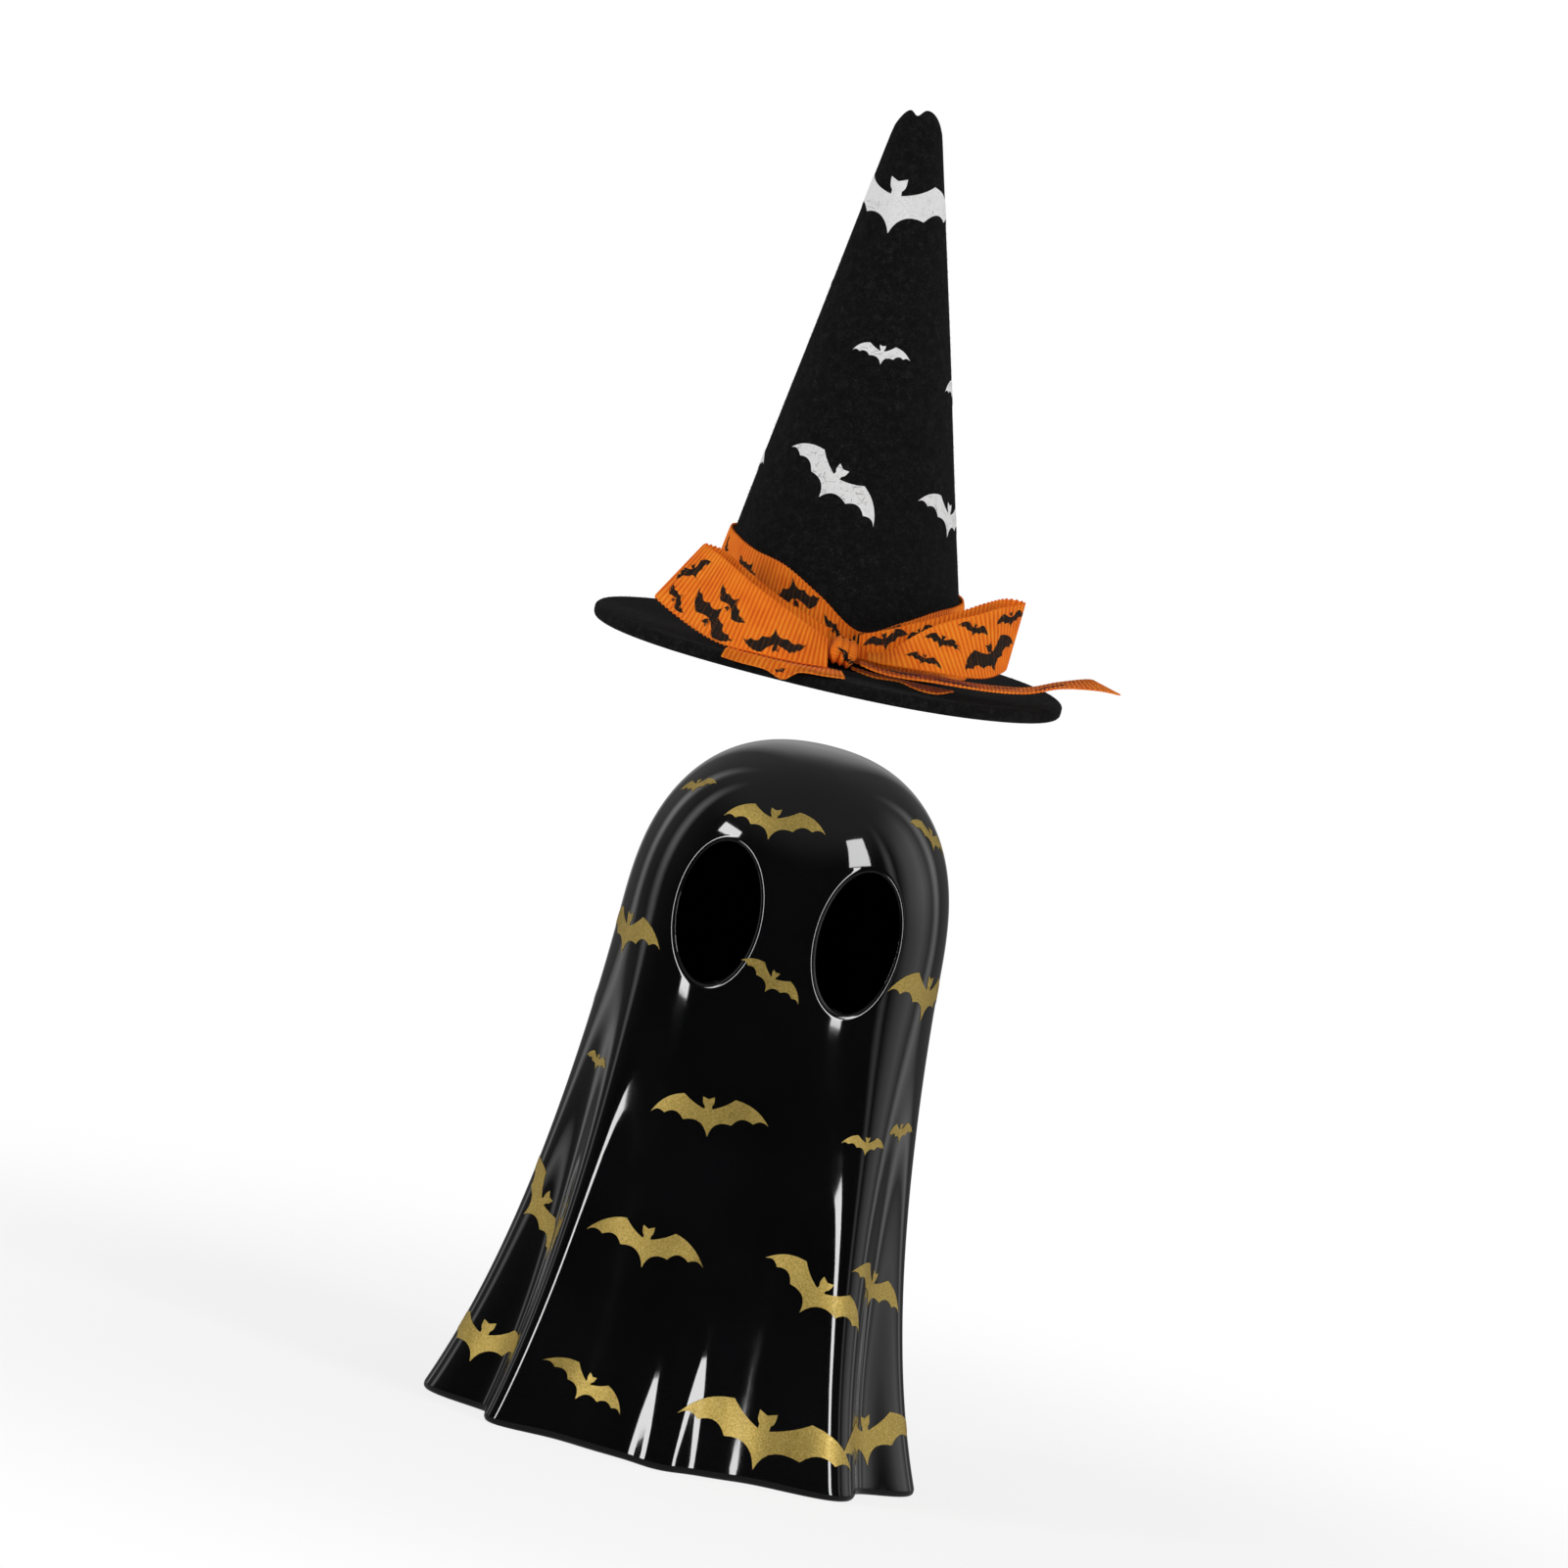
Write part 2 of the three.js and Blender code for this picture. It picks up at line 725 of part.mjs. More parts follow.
const tipOutline = [
  [0.4, 1],
  [0.72, 0.62],
  [0.91, 0.25],
]; // shares of the tip's radius and rise, from the lobes down
const outerTopShare = 0.985; // where the cone's last rings are, outside and inside
const innerTopShare = 0.93;
const outerRings = 8;
const innerRings = 5;

function hatCone() {
  const rings = tipOutline.map(([out, up]) => tipRing(tipRadius * out, tipRise * up));
  for (let i = outerRings; i >= 0; i--) {
    const share = (i / outerRings) * outerTopShare;
    rings.push(coneRing(share, 0, coneFoot + coneHeight * share));
  }
  for (let i = 0; i <= innerRings; i++) {
    const share = (i / innerRings) * innerTopShare;
    rings.push(coneRing(share, feltThickness, coneFoot + coneHeight * share));
  }
  const notchTop = coneFoot + coneHeight + tipRise - tipLobe;
  const top = new THREE.Vector3(coneLeanAt(1) - notchSide, 0, notchTop);
  const innerHeight = coneFoot + coneHeight * innerTopShare + gap;
  return skin(top, rings, new THREE.Vector3(coneLeanAt(innerTopShare), 0, innerHeight));
}

function hatBrim() {
  const low = -brimTop;
  const side = brimRadius - brimRound;
  const round = brimRound * Math.SQRT1_2;
  const profile = [
    [coneInner, low],
    [side, low],
    [side + round, low + brimRound - round],
    [brimRadius, low + brimRound],
    [brimRadius, brimTop - brimRound],
    [side + round, brimTop - brimRound + round],
    [side, brimTop],
    [coneInner, brimTop],
    [coneInner, low],
  ];
  return turned(profile, 56);
}

// A ribbon of even thickness over stations. Each station is a row of points from the upper edge
// to the lower one, and a smooth curve joins the points that have the same place in their rows.
function ribbon(stations, steps, closed) {
  const curves = stations[0].map(
    (_, place) => new THREE.CatmullRomCurve3(stations.map((row) => row[place]), closed, "centripetal"),
  );
  const rows = closed ? steps : steps + 1;
  const points = [];
  for (let i = 0; i < rows; i++) {
    const row = curves.map((curve) => curve.getPoint(i / steps));
    const along = curves.reduce((sum, curve) => sum.add(curve.getTangent(i / steps)), new THREE.Vector3());
    const halves = row.map((_, place) => {
      const above = row[Math.max(place - 1, 0)];
      const below = row[Math.min(place + 1, row.length - 1)];
      return above.clone().sub(below).cross(along).setLength(ribbonThickness / 2);
    });
    points.push(...row.map((point, place) => point.clone().add(halves[place])));
    points.push(...row.map((point, place) => point.clone().sub(halves[place])).reverse());
  }
  const sides = 2 * curves.length;
  const faces = [];
  const spans = closed ? rows : rows - 1;
  for (let i = 0; i < spans; i++) {
    const here = sides * i;
    const next = sides * ((i + 1) % rows);
    for (let side = 0; side < sides; side++) {
      const other = (side + 1) % sides;
      faces.push(here + side, next + other, here + other, here + side, next + side, next + other);
    }
  }
  if (!closed) {
    const last = sides * (rows - 1);
    for (let side = 0; side + 1 < curves.length; side++) {
      const back = sides - 1 - side;
      faces.push(side, side + 1, back - 1, side, back - 1, back);
      faces.push(last + side, last + back - 1, last + side + 1, last + side, last + back, last + back - 1);
    }
  }
  return new THREE.BufferGeometry().setFromPoints(points).setIndex(faces);
}

// The band's upper and lower edges in ribbon widths above the cone's foot, at even steps round
// it from beside the knot, towards the left
const bandStart = 10;
const bandEdges = [
  [0.5, 0.1],
  [0.84, 0.14],
  [1.1, 0.17],
  [1.175, 0.2],
  [1.27, 0.29],
  [1.32, 0.33],
  [1.32, 0.33],
  [1.29, 0.3],
  [1.24, 0.26],
  [1.19, 0.21],
  [1.16, 0.17],
  [1.12, 0.13],
  [1.08, 0.09],
  [1.045, 0.06],
  [1.02, 0.05],
  [0.98, 0.05],
  [0.9, 0.05],
  [0.71, 0.06],
];

function ribbonBand() {
  const stations = bandEdges.map(([high, low], i) => {
    const angle = bandStart - (360 * i) / bandEdges.length;
    return [bandPoint(angle, high), bandPoint(angle, low)];
  });
  return ribbon(stations, bandSteps, true);
}

function bandPoint(angle, up) {
  const height = coneFoot + up * ribbonWidth;
  const share = (height - coneFoot) / coneHeight;
  const radius = coneRadiusAt(share) + 2 * gap + ribbonThickness / 2;
  const x = coneLeanAt(share) + radius * Math.sin(angle * degree);
  return new THREE.Vector3(x, -radius * Math.cos(angle * degree), height);
}

// The bow's stations, in ribbon widths: across, out from the cone's foot, and up from the brim.
// Each loop leaves the knot, turns over at its end and comes back behind itself.
const loopLeft = [
  [[-0.13, 0.613, 0.412], [-0.068, 0.863, 0.072]],
  [[-0.455, 0.65, 0.545], [-0.53, 1.087, 0.072]],
  [[-0.871, 0.587, 0.728], [-0.998, 1.05, 0.072]],
  [[-1.288, 0.425, 0.915], [-1.474, 0.831, 0.072]],
  [[-1.645, 0.163, 1.086], [-1.963, 0.437, 0.199]],
  [[-1.922, -0.163, 1.19], [-2.41, 0.038, 0.406]],
  [[-1.721, -0.15, 1.174], [-2.189, -0.038, 0.363]],
  [[-1.453, 0.062, 1.067], [-1.647, 0.175, 0.214]],
  [[-1.094, 0.212, 0.889], [-1.158, 0.363, 0.126]],
  [[-0.678, 0.3, 0.708], [-0.591, 0.488, 0.106]],
  [[-0.309, 0.325, 0.572], [-0.22, 0.525, 0.085]],
  [[-0.149, 0.325, 0.508], [-0.062, 0.5, 0.094]],
];
const loopRight = [
  [[0.393, 0.712, 0.356], [0.42, 0.812, 0.274]],
  [[0.646, 0.613, 0.406], [0.674, 0.8, 0.272]],
  [[0.802, 0.6, 0.543], [0.966, 0.925, 0.3]],
  [[1.013, 0.513, 0.737], [1.306, 0.962, 0.328]],
  [[1.294, 0.363, 0.916], [1.653, 0.863, 0.333]],
  [[1.639, 0.2, 1.065], [1.933, 0.65, 0.354]],
  [[1.984, -0.05, 1.225], [2.121, 0.337, 0.418]],
  [[2.279, -0.387, 1.321], [2.202, -0.1, 0.469]],
  [[2.071, -0.413, 1.324], [2.046, -0.212, 0.44]],
  [[1.796, -0.188, 1.234], [1.798, 0.025, 0.373]],
  [[1.476, 0.025, 1.072], [1.518, 0.275, 0.347]],
  [[1.154, 0.2, 0.924], [1.214, 0.45, 0.327]],
  [[0.792, 0.288, 0.753], [0.847, 0.5, 0.288]],
  [[0.473, 0.312, 0.604], [0.542, 0.488, 0.246]],
  [[0.266, 0.312, 0.52], [0.301, 0.462, 0.232]],
];
const tailRight = [
  [[0.326, 0.4, 0.207], [0.338, 0.7, 0.186]],
  [[0.602, 0.275, 0.156], [0.616, 0.837, 0.151]],
  [[0.904, 0.187, 0.157], [0.903, 0.937, 0.16]],
  [[1.251, 0.113, 0.184], [1.237, 0.988, 0.193]],
  [[1.772, -0.075, 0.181], [1.774, 0.863, 0.21]],
  [[2.166, -0.325, 0.189], [2.169, 0.638, 0.221]],
  [[2.558, -0.575, 0.23], [2.558, 0.4, 0.268]],
  [[2.947, -0.775, 0.366], [2.956, 0.2, 0.396]],
  [[3.315, -0.925, 0.47], [3.454, 0.025, 0.46]],
  [[3.386, -0.95, 0.474], [3.731, -0.075, 0.454]],
];

// These two tails lie on the brim: degrees round from the front, and ribbon widths out from the
// rim and up from the brim. The left one hangs over the rim from a crease.
const tailLeft = [
  [[3.2, -0.712, 0.038], [3.2, -0.144, 0.044], [3.2, -0.045, 0.031]],
  [[-1.9, -0.712, 0.038], [-1.9, -0.016, 0.044], [-1.9, 0.039, 0.016]],
  [[-7.7, -0.712, 0.038], [-7.7, -0.016, 0.044], [-7.7, 0.097, -0.01]],
  [[-10.7, -0.712, 0.038], [-10.7, -0.016, 0.044], [-10.7, 0.157, -0.135]],
  [[-15.3, -0.712, 0.038], [-15.3, -0.016, 0.044], [-15.3, 0.127, -0.069]],
  [[-21.8, -0.712, 0.038], [-21.8, -0.016, 0.044], [-21.8, 0.072, -0.072]],
  [[-26.8, -0.519, 0.038], [-26.8, -0.016, 0.044], [-26.8, 0.067, -0.061]],
];
const tailShort = [
  [[6.6, -0.998, 0.094], [6, -0.775, 0.094]],
  [[14.9, -1.017, 0.062], [12.8, -0.626, 0.062]],
  [[23.8, -0.995, 0.05], [19.4, -0.462, 0.085]],
  [[29.5, -0.914, 0.044], [23.4, -0.32, 0.045]],
  [[35.2, -0.803, 0.044], [27.6, -0.191, 0.041]],
  [[39.1, -0.617, 0.056], [34.2, -0.271, 0.097]],
];

function bowPoint([across, out, up]) {
  const depth = coneRadius + out * ribbonWidth;
  return new THREE.Vector3(across * ribbonWidth, -depth, brimTop + up * ribbonWidth);
}

function rimPoint([angle, out, up]) {
  const radius = brimRadius + out * ribbonWidth;
  const height = brimTop + up * ribbonWidth;
  return new THREE.Vector3(radius * Math.sin(angle * degree), -radius * Math.cos(angle * degree), height);
}

function bowPiece(stations, place, steps) {
  return ribbon(stations.map((row) => row.map(place)), steps, false);
}

// The knot: a flattened ball of ribbon, from the band out between the loops
function bowKnot() {
  const out = coneRadius + ribbonThickness + gap + knotDepth / 2;
  const height = brimTop + ribbonThickness + 2 * gap + knotHeight / 2;
  const ball = new THREE.SphereGeometry(1, 14, 9).scale(knotWidth / 2, knotDepth / 2, knotHeight / 2);
  return ball.translate(knotSide, -out, height);
}

function part(name, geometry, material) {
  const mesh = new THREE.Mesh(geometry, material);
  mesh.name = name;
  return mesh;
}

const ghost = new THREE.Group();
ghost.add(part("ghost_shell", ghostShell(), ceramic));

const lightUnit = new THREE.Group();
const [cellPlaceOne, cellPlaceTwo, cellPlaceThree] = cellAngles.map((angle) => polar(cellOrbit, angle));
const terminalPlace = polar(terminalOffset, terminalAngle);
const lowerLeaf = (from, to) => leafBetween(from, to, lowerContactRise, lowerContactLow);
lightUnit.add(
  part("retaining_ring", retainingRing(), silicone),
  part("light_housing", lightHousing(), whitePlastic),
  part("battery_deck", batteryDeck(), whitePlastic),
  part("circuit_board", circuitBoard(), boardGreen),
  part("led_lamp", ledLamp(), lampClear),
  part("resistor", resistorBody(), resistorTan),
  part("diffuser_dome", diffuserDome(), frostedPlastic),
  ...cellAngles.map((angle, i) => part("cell_" + (i + 1), cell(angle), steel)),
  part("contact_bridge_lower", lowerLeaf(cellPlaceOne, cellPlaceTwo), brass),
  part("contact_terminal_lower", lowerLeaf(cellPlaceThree, terminalPlace), brass),
  part("contact_bridge_upper", upperLeaf(cellPlaceTwo, cellPlaceThree), brass),
  part("contact_positive", upperLeaf(cellPlaceOne, [0, 0]), brass),
  part("terminal_pin", terminalPin(), brass),
  part("positive_pin", positivePin(), brass),
  ...screwAngles.map((angle, i) => part("deck_screw_" + (i + 1), deckScrew(angle), steel)),
  part("switch_frame", switchFrame(), steel),
  part("switch_slider", switchSlider(), blackPlastic),
  part("switch_lead_1", switchLead(-1), leadRed),
  part("switch_lead_2", switchLead(1), blackPlastic),
  part("battery_door", batteryDoor(), whitePlastic),
);

const hat = new THREE.Group();
hat.add(
  part("hat_brim", hatBrim(), felt),
  part("hat_cone", hatCone(), felt),
  part("ribbon_band", ribbonBand(), ribbonOrange),
  part("bow_knot", bowKnot(), ribbonOrange),
  part("bow_loop_left", bowPiece(loopLeft, bowPoint, loopSteps), ribbonOrange),
  part("bow_loop_right", bowPiece(loopRight, bowPoint, loopSteps), ribbonOrange),
  part("ribbon_tail_left", bowPiece(tailLeft, rimPoint, tailSteps), ribbonOrange),
  part("ribbon_tail_right", bowPiece(tailRight, bowPoint, tailSteps), ribbonOrange),
  part("ribbon_tail_short", bowPiece(tailShort, rimPoint, tailSteps), ribbonOrange),
);
hat.position.set(-hatSide, 0, domeHeightAt(coneInner) + gap + brimTop + hatLift);

const group = new THREE.Group();
group.add(ghost, lightUnit, hat);

export default group;
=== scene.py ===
import math

import bpy
import numpy as np
from mathutils import Matrix, Vector
from mathutils.geometry import delaunay_2d_cdt


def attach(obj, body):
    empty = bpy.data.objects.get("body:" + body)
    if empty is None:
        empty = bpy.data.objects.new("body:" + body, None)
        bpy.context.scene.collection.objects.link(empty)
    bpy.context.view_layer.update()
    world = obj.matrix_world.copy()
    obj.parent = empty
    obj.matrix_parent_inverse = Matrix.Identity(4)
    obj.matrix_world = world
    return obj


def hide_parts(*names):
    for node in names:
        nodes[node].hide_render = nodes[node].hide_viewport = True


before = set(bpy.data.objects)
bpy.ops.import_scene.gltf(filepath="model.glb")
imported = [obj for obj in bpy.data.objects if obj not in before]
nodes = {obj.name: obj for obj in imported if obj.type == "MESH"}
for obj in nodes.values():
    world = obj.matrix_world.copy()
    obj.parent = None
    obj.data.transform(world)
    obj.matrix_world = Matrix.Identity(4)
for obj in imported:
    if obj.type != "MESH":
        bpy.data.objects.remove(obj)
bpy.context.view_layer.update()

MM = 0.001  # lengths below are in millimetres unless they say otherwise

# Photograph and camera
PHOTO_SIDE = 1601  # pixels
FOCAL = 15681  # pixels
CAMERA_DISTANCE = 3200
CAMERA_SIDE = math.radians(1.66)  # towards -X of the figure's front
CAMERA_RISE = math.radians(6.34)
CAMERA_ROLL = math.radians(12.72)
AIM = Vector((-6.56, 0, 140.4))
SENSOR = 36

# Ghost body, as in the CAD
GHOST_HEIGHT = 150
HEAD_RADIUS = 33.95
DOME_HEIGHT = 42
DOME_FULLNESS = 2.37
SHOULDER = GHOST_HEIGHT - DOME_HEIGHT
SKIRT_FLARE = 5.6
SKIRT_FLARE_POWER = 4.3
WALL = 3.5
FOLD_TOP = 118
FOLD_POWER = 1.68
HEM_ROUND = 1.8
FOLDS = [  # degrees from the front, height, spread in degrees
    (-53, 8.8, 10.1),
    (50.4, 9.5, 14.8),
    (-89, 13.6, 16),
    (88, 13.6, 16),
    (-134, 8.5, 14),
    (133, 8.2, 14),
    (181, 6.5, 17),
    (-3, 3.3, 7.9),
    (27, -0.9, 10),
]
EYE_Z = 114.4
EYE_OFFSET = 14.8
EYE_HALF_WIDTH = 8.2
EYE_HALF_HEIGHT = 14.7
SOCKET_DEPTH = 0.8
SOCKET_SPREAD = 6
FOOT_RING = 31
BASE_RECESS = 2.5
FLOOR_TOP = 6.5
HOLE_RADIUS = 20

# Hat, in heights above the middle of the brim
HAT = np.array([-3.3, 0, 167.835])
BRIM_RADIUS = 49.8
BRIM_TOP = 1.5
BRIM_ROUND = 1.1
FELT = 2
CONE_FOOT = 1.8
CONE_RADIUS = 28.2
CONE_HEIGHT = 109.6
TIP_RADIUS = 5.2
TIP_LOBE = 1.3
TIP_RISE = 4.8
NOTCH_SIDE = 0.85
NOTCH_WIDTH = 1.1
HAT_LEAN = 5.9

# Ribbon
RIBBON_WIDTH = 16
RIBBON_THICKNESS = 0.5
RIB_PITCH = 1
RIB_HEIGHT = 0.11

rng = np.random.default_rng(20)


# Camera
def make_camera():
    away = Vector((
        -math.sin(CAMERA_SIDE) * math.cos(CAMERA_RISE),
        -math.cos(CAMERA_SIDE) * math.cos(CAMERA_RISE),
        math.sin(CAMERA_RISE),
    ))
    right = (-away).cross(Vector((0, 0, 1))).normalized()
    up = right.cross(-away)
    across = right * math.cos(CAMERA_ROLL) + up * math.sin(CAMERA_ROLL)
    upward = up * math.cos(CAMERA_ROLL) - right * math.sin(CAMERA_ROLL)
    data = bpy.data.cameras.new("camera")
    data.sensor_width = SENSOR
    data.sensor_fit = "HORIZONTAL"
    data.lens = SENSOR * FOCAL / PHOTO_SIDE
    data.clip_end = 100
    camera = bpy.data.objects.new("camera", data)
    turn = Matrix((across, upward, away)).transposed().to_4x4()
    camera.matrix_world = Matrix.Translation((AIM + away * CAMERA_DISTANCE) * MM) @ turn
    bpy.context.scene.collection.objects.link(camera)
    bpy.context.scene.camera = camera


# Meshes
def add_mesh(name, points, faces, materials, smooth_angle):
    """A new mesh piece from points in millimetres."""
    mesh = bpy.data.meshes.new(name)
    mesh.from_pydata((np.asarray(points, float) * MM).tolist(), [], [list(map(int, f)) for f in faces])
    mesh.validate()
    for material in materials:
        mesh.materials.append(material)
    mesh.polygons.foreach_set("use_smooth", [True] * len(mesh.polygons))
    if smooth_angle:
        mesh.set_sharp_from_angle(angle=math.radians(smooth_angle))
    piece = bpy.data.objects.new(name, mesh)
    bpy.context.scene.collection.objects.link(piece)
    return piece


def ride_hat(piece):
    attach(piece, "hat")
    piece.visible_glossy = False  # the crown doesn't mirror the hat held over it


def ring_quad(i, below, j, count):
    """The quad between rings i and below, from column j to the next of count."""
    k = (j + 1) % count
    return i * count + j, below * count + j, below * count + k, i * count + k


def ring_skin(rings, skip=()):
    """Points and quads of a closed skin over rings that run from one pole to the other.

    Each ring goes anticlockwise seen from above, and the outside comes first, from the top.
    skip holds (first ring, last ring, first column, last column) windows that stay open.
    """
    rings = [np.asarray(r) for r in rings]
    count = len(rings[0])
    first, last = rings[0].mean(axis=0), rings[-1].mean(axis=0)
    points = np.vstack(rings + [[first], [last]])
    faces = []
    for i in range(len(rings) - 1):
        for j in range(count):
            if any(a <= i < b and (j - c) % count < d - c for a, b, c, d in skip):
                continue
            faces.append(ring_quad(i, i + 1, j, count))
    top, bottom = len(points) - 2, len(points) - 1
    low = (len(rings) - 1) * count
    for j in range(count):
        k = (j + 1) % count
        faces.append((top, j, k))
        faces.append((low + j, bottom, low + k))
    return points, faces


def around(radius, angle, z):
    """Points at angles (degrees round from the front) and heights."""
    a = np.radians(angle)
    return np.stack(np.broadcast_arrays(radius * np.sin(a), -radius * np.cos(a), z), axis=-1)


# Ghost body
def dome_radius(radius, rise, height):
    share = np.clip(np.asarray(height, float) / rise, 0, 1)
    return radius * (1 - share**DOME_FULLNESS) ** (1 / DOME_FULLNESS)


def core_radius(z):
    z = np.asarray(z, float)
    low = np.clip((SHOULDER - z) / SHOULDER, 0, None)
    skirt = HEAD_RADIUS + SKIRT_FLARE * low**SKIRT_FLARE_POWER
    return np.where(z >= SHOULDER, dome_radius(HEAD_RADIUS, DOME_HEIGHT, z - SHOULDER), skirt)


def ghost_radius(angle, z):
    angle, z = np.broadcast_arrays(np.asarray(angle, float), np.asarray(z, float))
    core = core_radius(z)
    fade = np.clip((FOLD_TOP - z) / FOLD_TOP, 0, None) ** FOLD_POWER
    fold = np.zeros_like(core)
    for at, height, spread in FOLDS:
        turn = (angle - at + 540) % 360 - 180
        fold += height * np.exp(-((turn / spread) ** 2))
    x = core * np.sin(np.radians(angle))
    across = (np.abs(x) - EYE_OFFSET) / (EYE_HALF_WIDTH + SOCKET_SPREAD)
    along = (z - EYE_Z) / (EYE_HALF_HEIGHT + SOCKET_SPREAD)
    dip = SOCKET_DEPTH * np.exp(-2 * across**2 - 2 * along**2)
    return core + fade * fold - np.where(np.cos(np.radians(angle)) > 0, dip, 0)


def inner_radius(angle, z):
    z = np.asarray(z, float)
    dome = dome_radius(HEAD_RADIUS - WALL, DOME_HEIGHT - WALL, z - SHOULDER)
    blend = np.clip((z - SHOULDER) / INNER_BLEND, 0, 1)
    return (ghost_radius(angle, z) - WALL) * (1 - blend) + dome * blend


COLUMN = 1.5  # degrees between the ghost's columns of points
EYE_RIM, EYE_INNER_RIM = 1.35, 0.9  # how round the wall's edges are in each eye
RIM_STEPS = 9
EYE_REACH_STEPS = 14  # loops from the window's edge to the rim
INNER_BLEND = 6  # the height over which the inside leaves the folds
INNER_FILLET = 3
CLAY_FROM = math.radians(75)  # how far round the hem the glaze ends
WINDOW_TOP, WINDOW_LOW = 134, 95  # the part of the wall that is remade round each eye
WINDOW_IN, WINDOW_OUT = 4.5, 52.5  # degrees from the front


def front_point(radius_at, x, z):
    """The point of the front wall at x and z."""
    angle = np.zeros_like(x)
    for _ in range(12):
        angle = np.degrees(np.arcsin(np.clip(x / radius_at(angle, z), -1, 1)))
    return around(radius_at(angle, z), angle, z)


def eye_faces(points, outer_loop, inner_loop, side):
    """Adds the eye's rounded rim and wall between two loops of points. Gives points and faces."""
    points = list(points)
    start = np.array([points[i] for i in outer_loop])
    x, z = start[:, 0], start[:, 2]
    phi = np.arctan2((z - EYE_Z) / EYE_HALF_HEIGHT, (x - side * EYE_OFFSET) / EYE_HALF_WIDTH)

    def oval(grow):
        return (
            side * EYE_OFFSET + (EYE_HALF_WIDTH + grow) * np.cos(phi),
            EYE_Z + (EYE_HALF_HEIGHT + grow) * np.sin(phi),
        )

    loops = []
    for k in range(1, EYE_REACH_STEPS + 1):
        s = (k / EYE_REACH_STEPS) ** 0.85
        ex, ez = oval(EYE_RIM)
        loops.append(front_point(ghost_radius, x + (ex - x) * s, z + (ez - z) * s))

    def rounded(radius_at, rim, inwards, k):
        """A loop k steps round an edge of the wall, from its face into the eye."""
        turn = math.pi / 2 * k / RIM_STEPS
        ox, oz = oval(rim * (1 - math.sin(turn)))
        loop = front_point(radius_at, ox, oz)
        loop[:, 1] += inwards * rim * (1 - math.cos(turn))
        return loop

    for k in range(1, RIM_STEPS + 1):
        loops.append(rounded(ghost_radius, EYE_RIM, 1, k))
    outer_edge = loops[-1]
    inner_edge = rounded(inner_radius, EYE_INNER_RIM, -1, RIM_STEPS)
    for k in range(1, 4):
        loops.append(outer_edge + (inner_edge - outer_edge) * k / 3)
    for k in range(RIM_STEPS - 1, -1, -1):
        loops.append(rounded(inner_radius, EYE_INNER_RIM, -1, k))
    end = np.array([points[i] for i in inner_loop])
    for k in range(1, 5):
        s = k / 5
        ex, ez = oval(EYE_INNER_RIM)
        loops.append(front_point(inner_radius, ex + (end[:, 0] - ex) * s, ez + (end[:, 2] - ez) * s))
    index = [list(outer_loop)]
    for loop in loops:
        index.append(list(range(len(points), len(points) + len(loop))))
        points.extend(loop)
    index.append(list(inner_loop))
    faces = []
    count = len(phi)
    for a, b in zip(index, index[1:]):
        for j in range(count):
            k = (j + 1) % count
            faces.append((a[j], a[k], b[k], b[j]))
    return points, faces


def ghost_rings(angles):
    """Rings from the crown round the hem to the inside of the dome, with the paint of each.

    Also gives the first and last ring of the eyes' windows, outside and inside.
    """
    rings, kinds = [], []

    def ring(radius, z, kind="glaze"):
        rings.append(around(radius, angles, z))
        kinds.append(kind)

    crown = (WINDOW_TOP - SHOULDER) / DOME_HEIGHT
    lean_end = math.acos(crown ** (DOME_FULLNESS / 2))
    for lean in np.linspace(0, lean_end, 34)[1:-1]:
        z = SHOULDER + DOME_HEIGHT * math.cos(lean) ** (2 / DOME_FULLNESS)
        ring(ghost_radius(angles, z), z)
    window_first = len(rings)
    for z in np.arange(WINDOW_TOP, WINDOW_LOW - 0.5, -1):
        ring(ghost_radius(angles, z), z)
    window_last = len(rings) - 1
    for z in np.linspace(WINDOW_LOW, HEM_ROUND, 76)[1:]:
        ring(ghost_radius(angles, z), z)
    for turn in np.radians(np.linspace(0, 90, 9)[1:]):
        z = HEM_ROUND * (1 - math.sin(turn))
        kind = "clay" if turn > CLAY_FROM else "glaze"
        ring(ghost_radius(angles, z) - HEM_ROUND * (1 - math.cos(turn)), z, kind)
    for radius, z, kind in (
        (FOOT_RING + 0.5, 0, "clay"),
        (FOOT_RING + 0.15, 0.12, "clay"),
        (FOOT_RING, 0.4, "glaze"),
        (FOOT_RING - BASE_RECESS / 2 + 0.3, BASE_RECESS - 0.35, "glaze"),
        (FOOT_RING - BASE_RECESS / 2 - 0.2, BASE_RECESS, "glaze"),
        (25, BASE_RECESS, "glaze"),
        (HOLE_RADIUS + 0.3, BASE_RECESS, "glaze"),
        (HOLE_RADIUS, BASE_RECESS + 0.3, "glaze"),
        (HOLE_RADIUS, FLOOR_TOP - 0.3, "glaze"),
        (HOLE_RADIUS + 0.3, FLOOR_TOP, "glaze"),
    ):
        ring(radius, z, kind)
    for turn in np.radians(np.linspace(0, 90, 6)):
        z = FLOOR_TOP + INNER_FILLET * (1 - math.cos(turn))
        ring(inner_radius(angles, z) - INNER_FILLET * (1 - math.sin(turn)), z)
    for z in np.linspace(FLOOR_TOP + INNER_FILLET, WINDOW_LOW, 26)[1:-1]:
        ring(inner_radius(angles, z), z)
    inner_first = len(rings)
    for z in np.arange(WINDOW_LOW, WINDOW_TOP + 0.5, 1):
        ring(inner_radius(angles, z), z)
    inner_last = len(rings) - 1
    inner_rise = DOME_HEIGHT - WALL
    lean_end = math.acos(((WINDOW_TOP - SHOULDER) / inner_rise) ** (DOME_FULLNESS / 2))
    for lean in np.linspace(lean_end, 0, 14)[1:-1]:
        z = SHOULDER + inner_rise * math.cos(lean) ** (2 / DOME_FULLNESS)
        ring(inner_radius(angles, z), z)
    return rings, kinds, (window_first, window_last), (inner_first, inner_last)


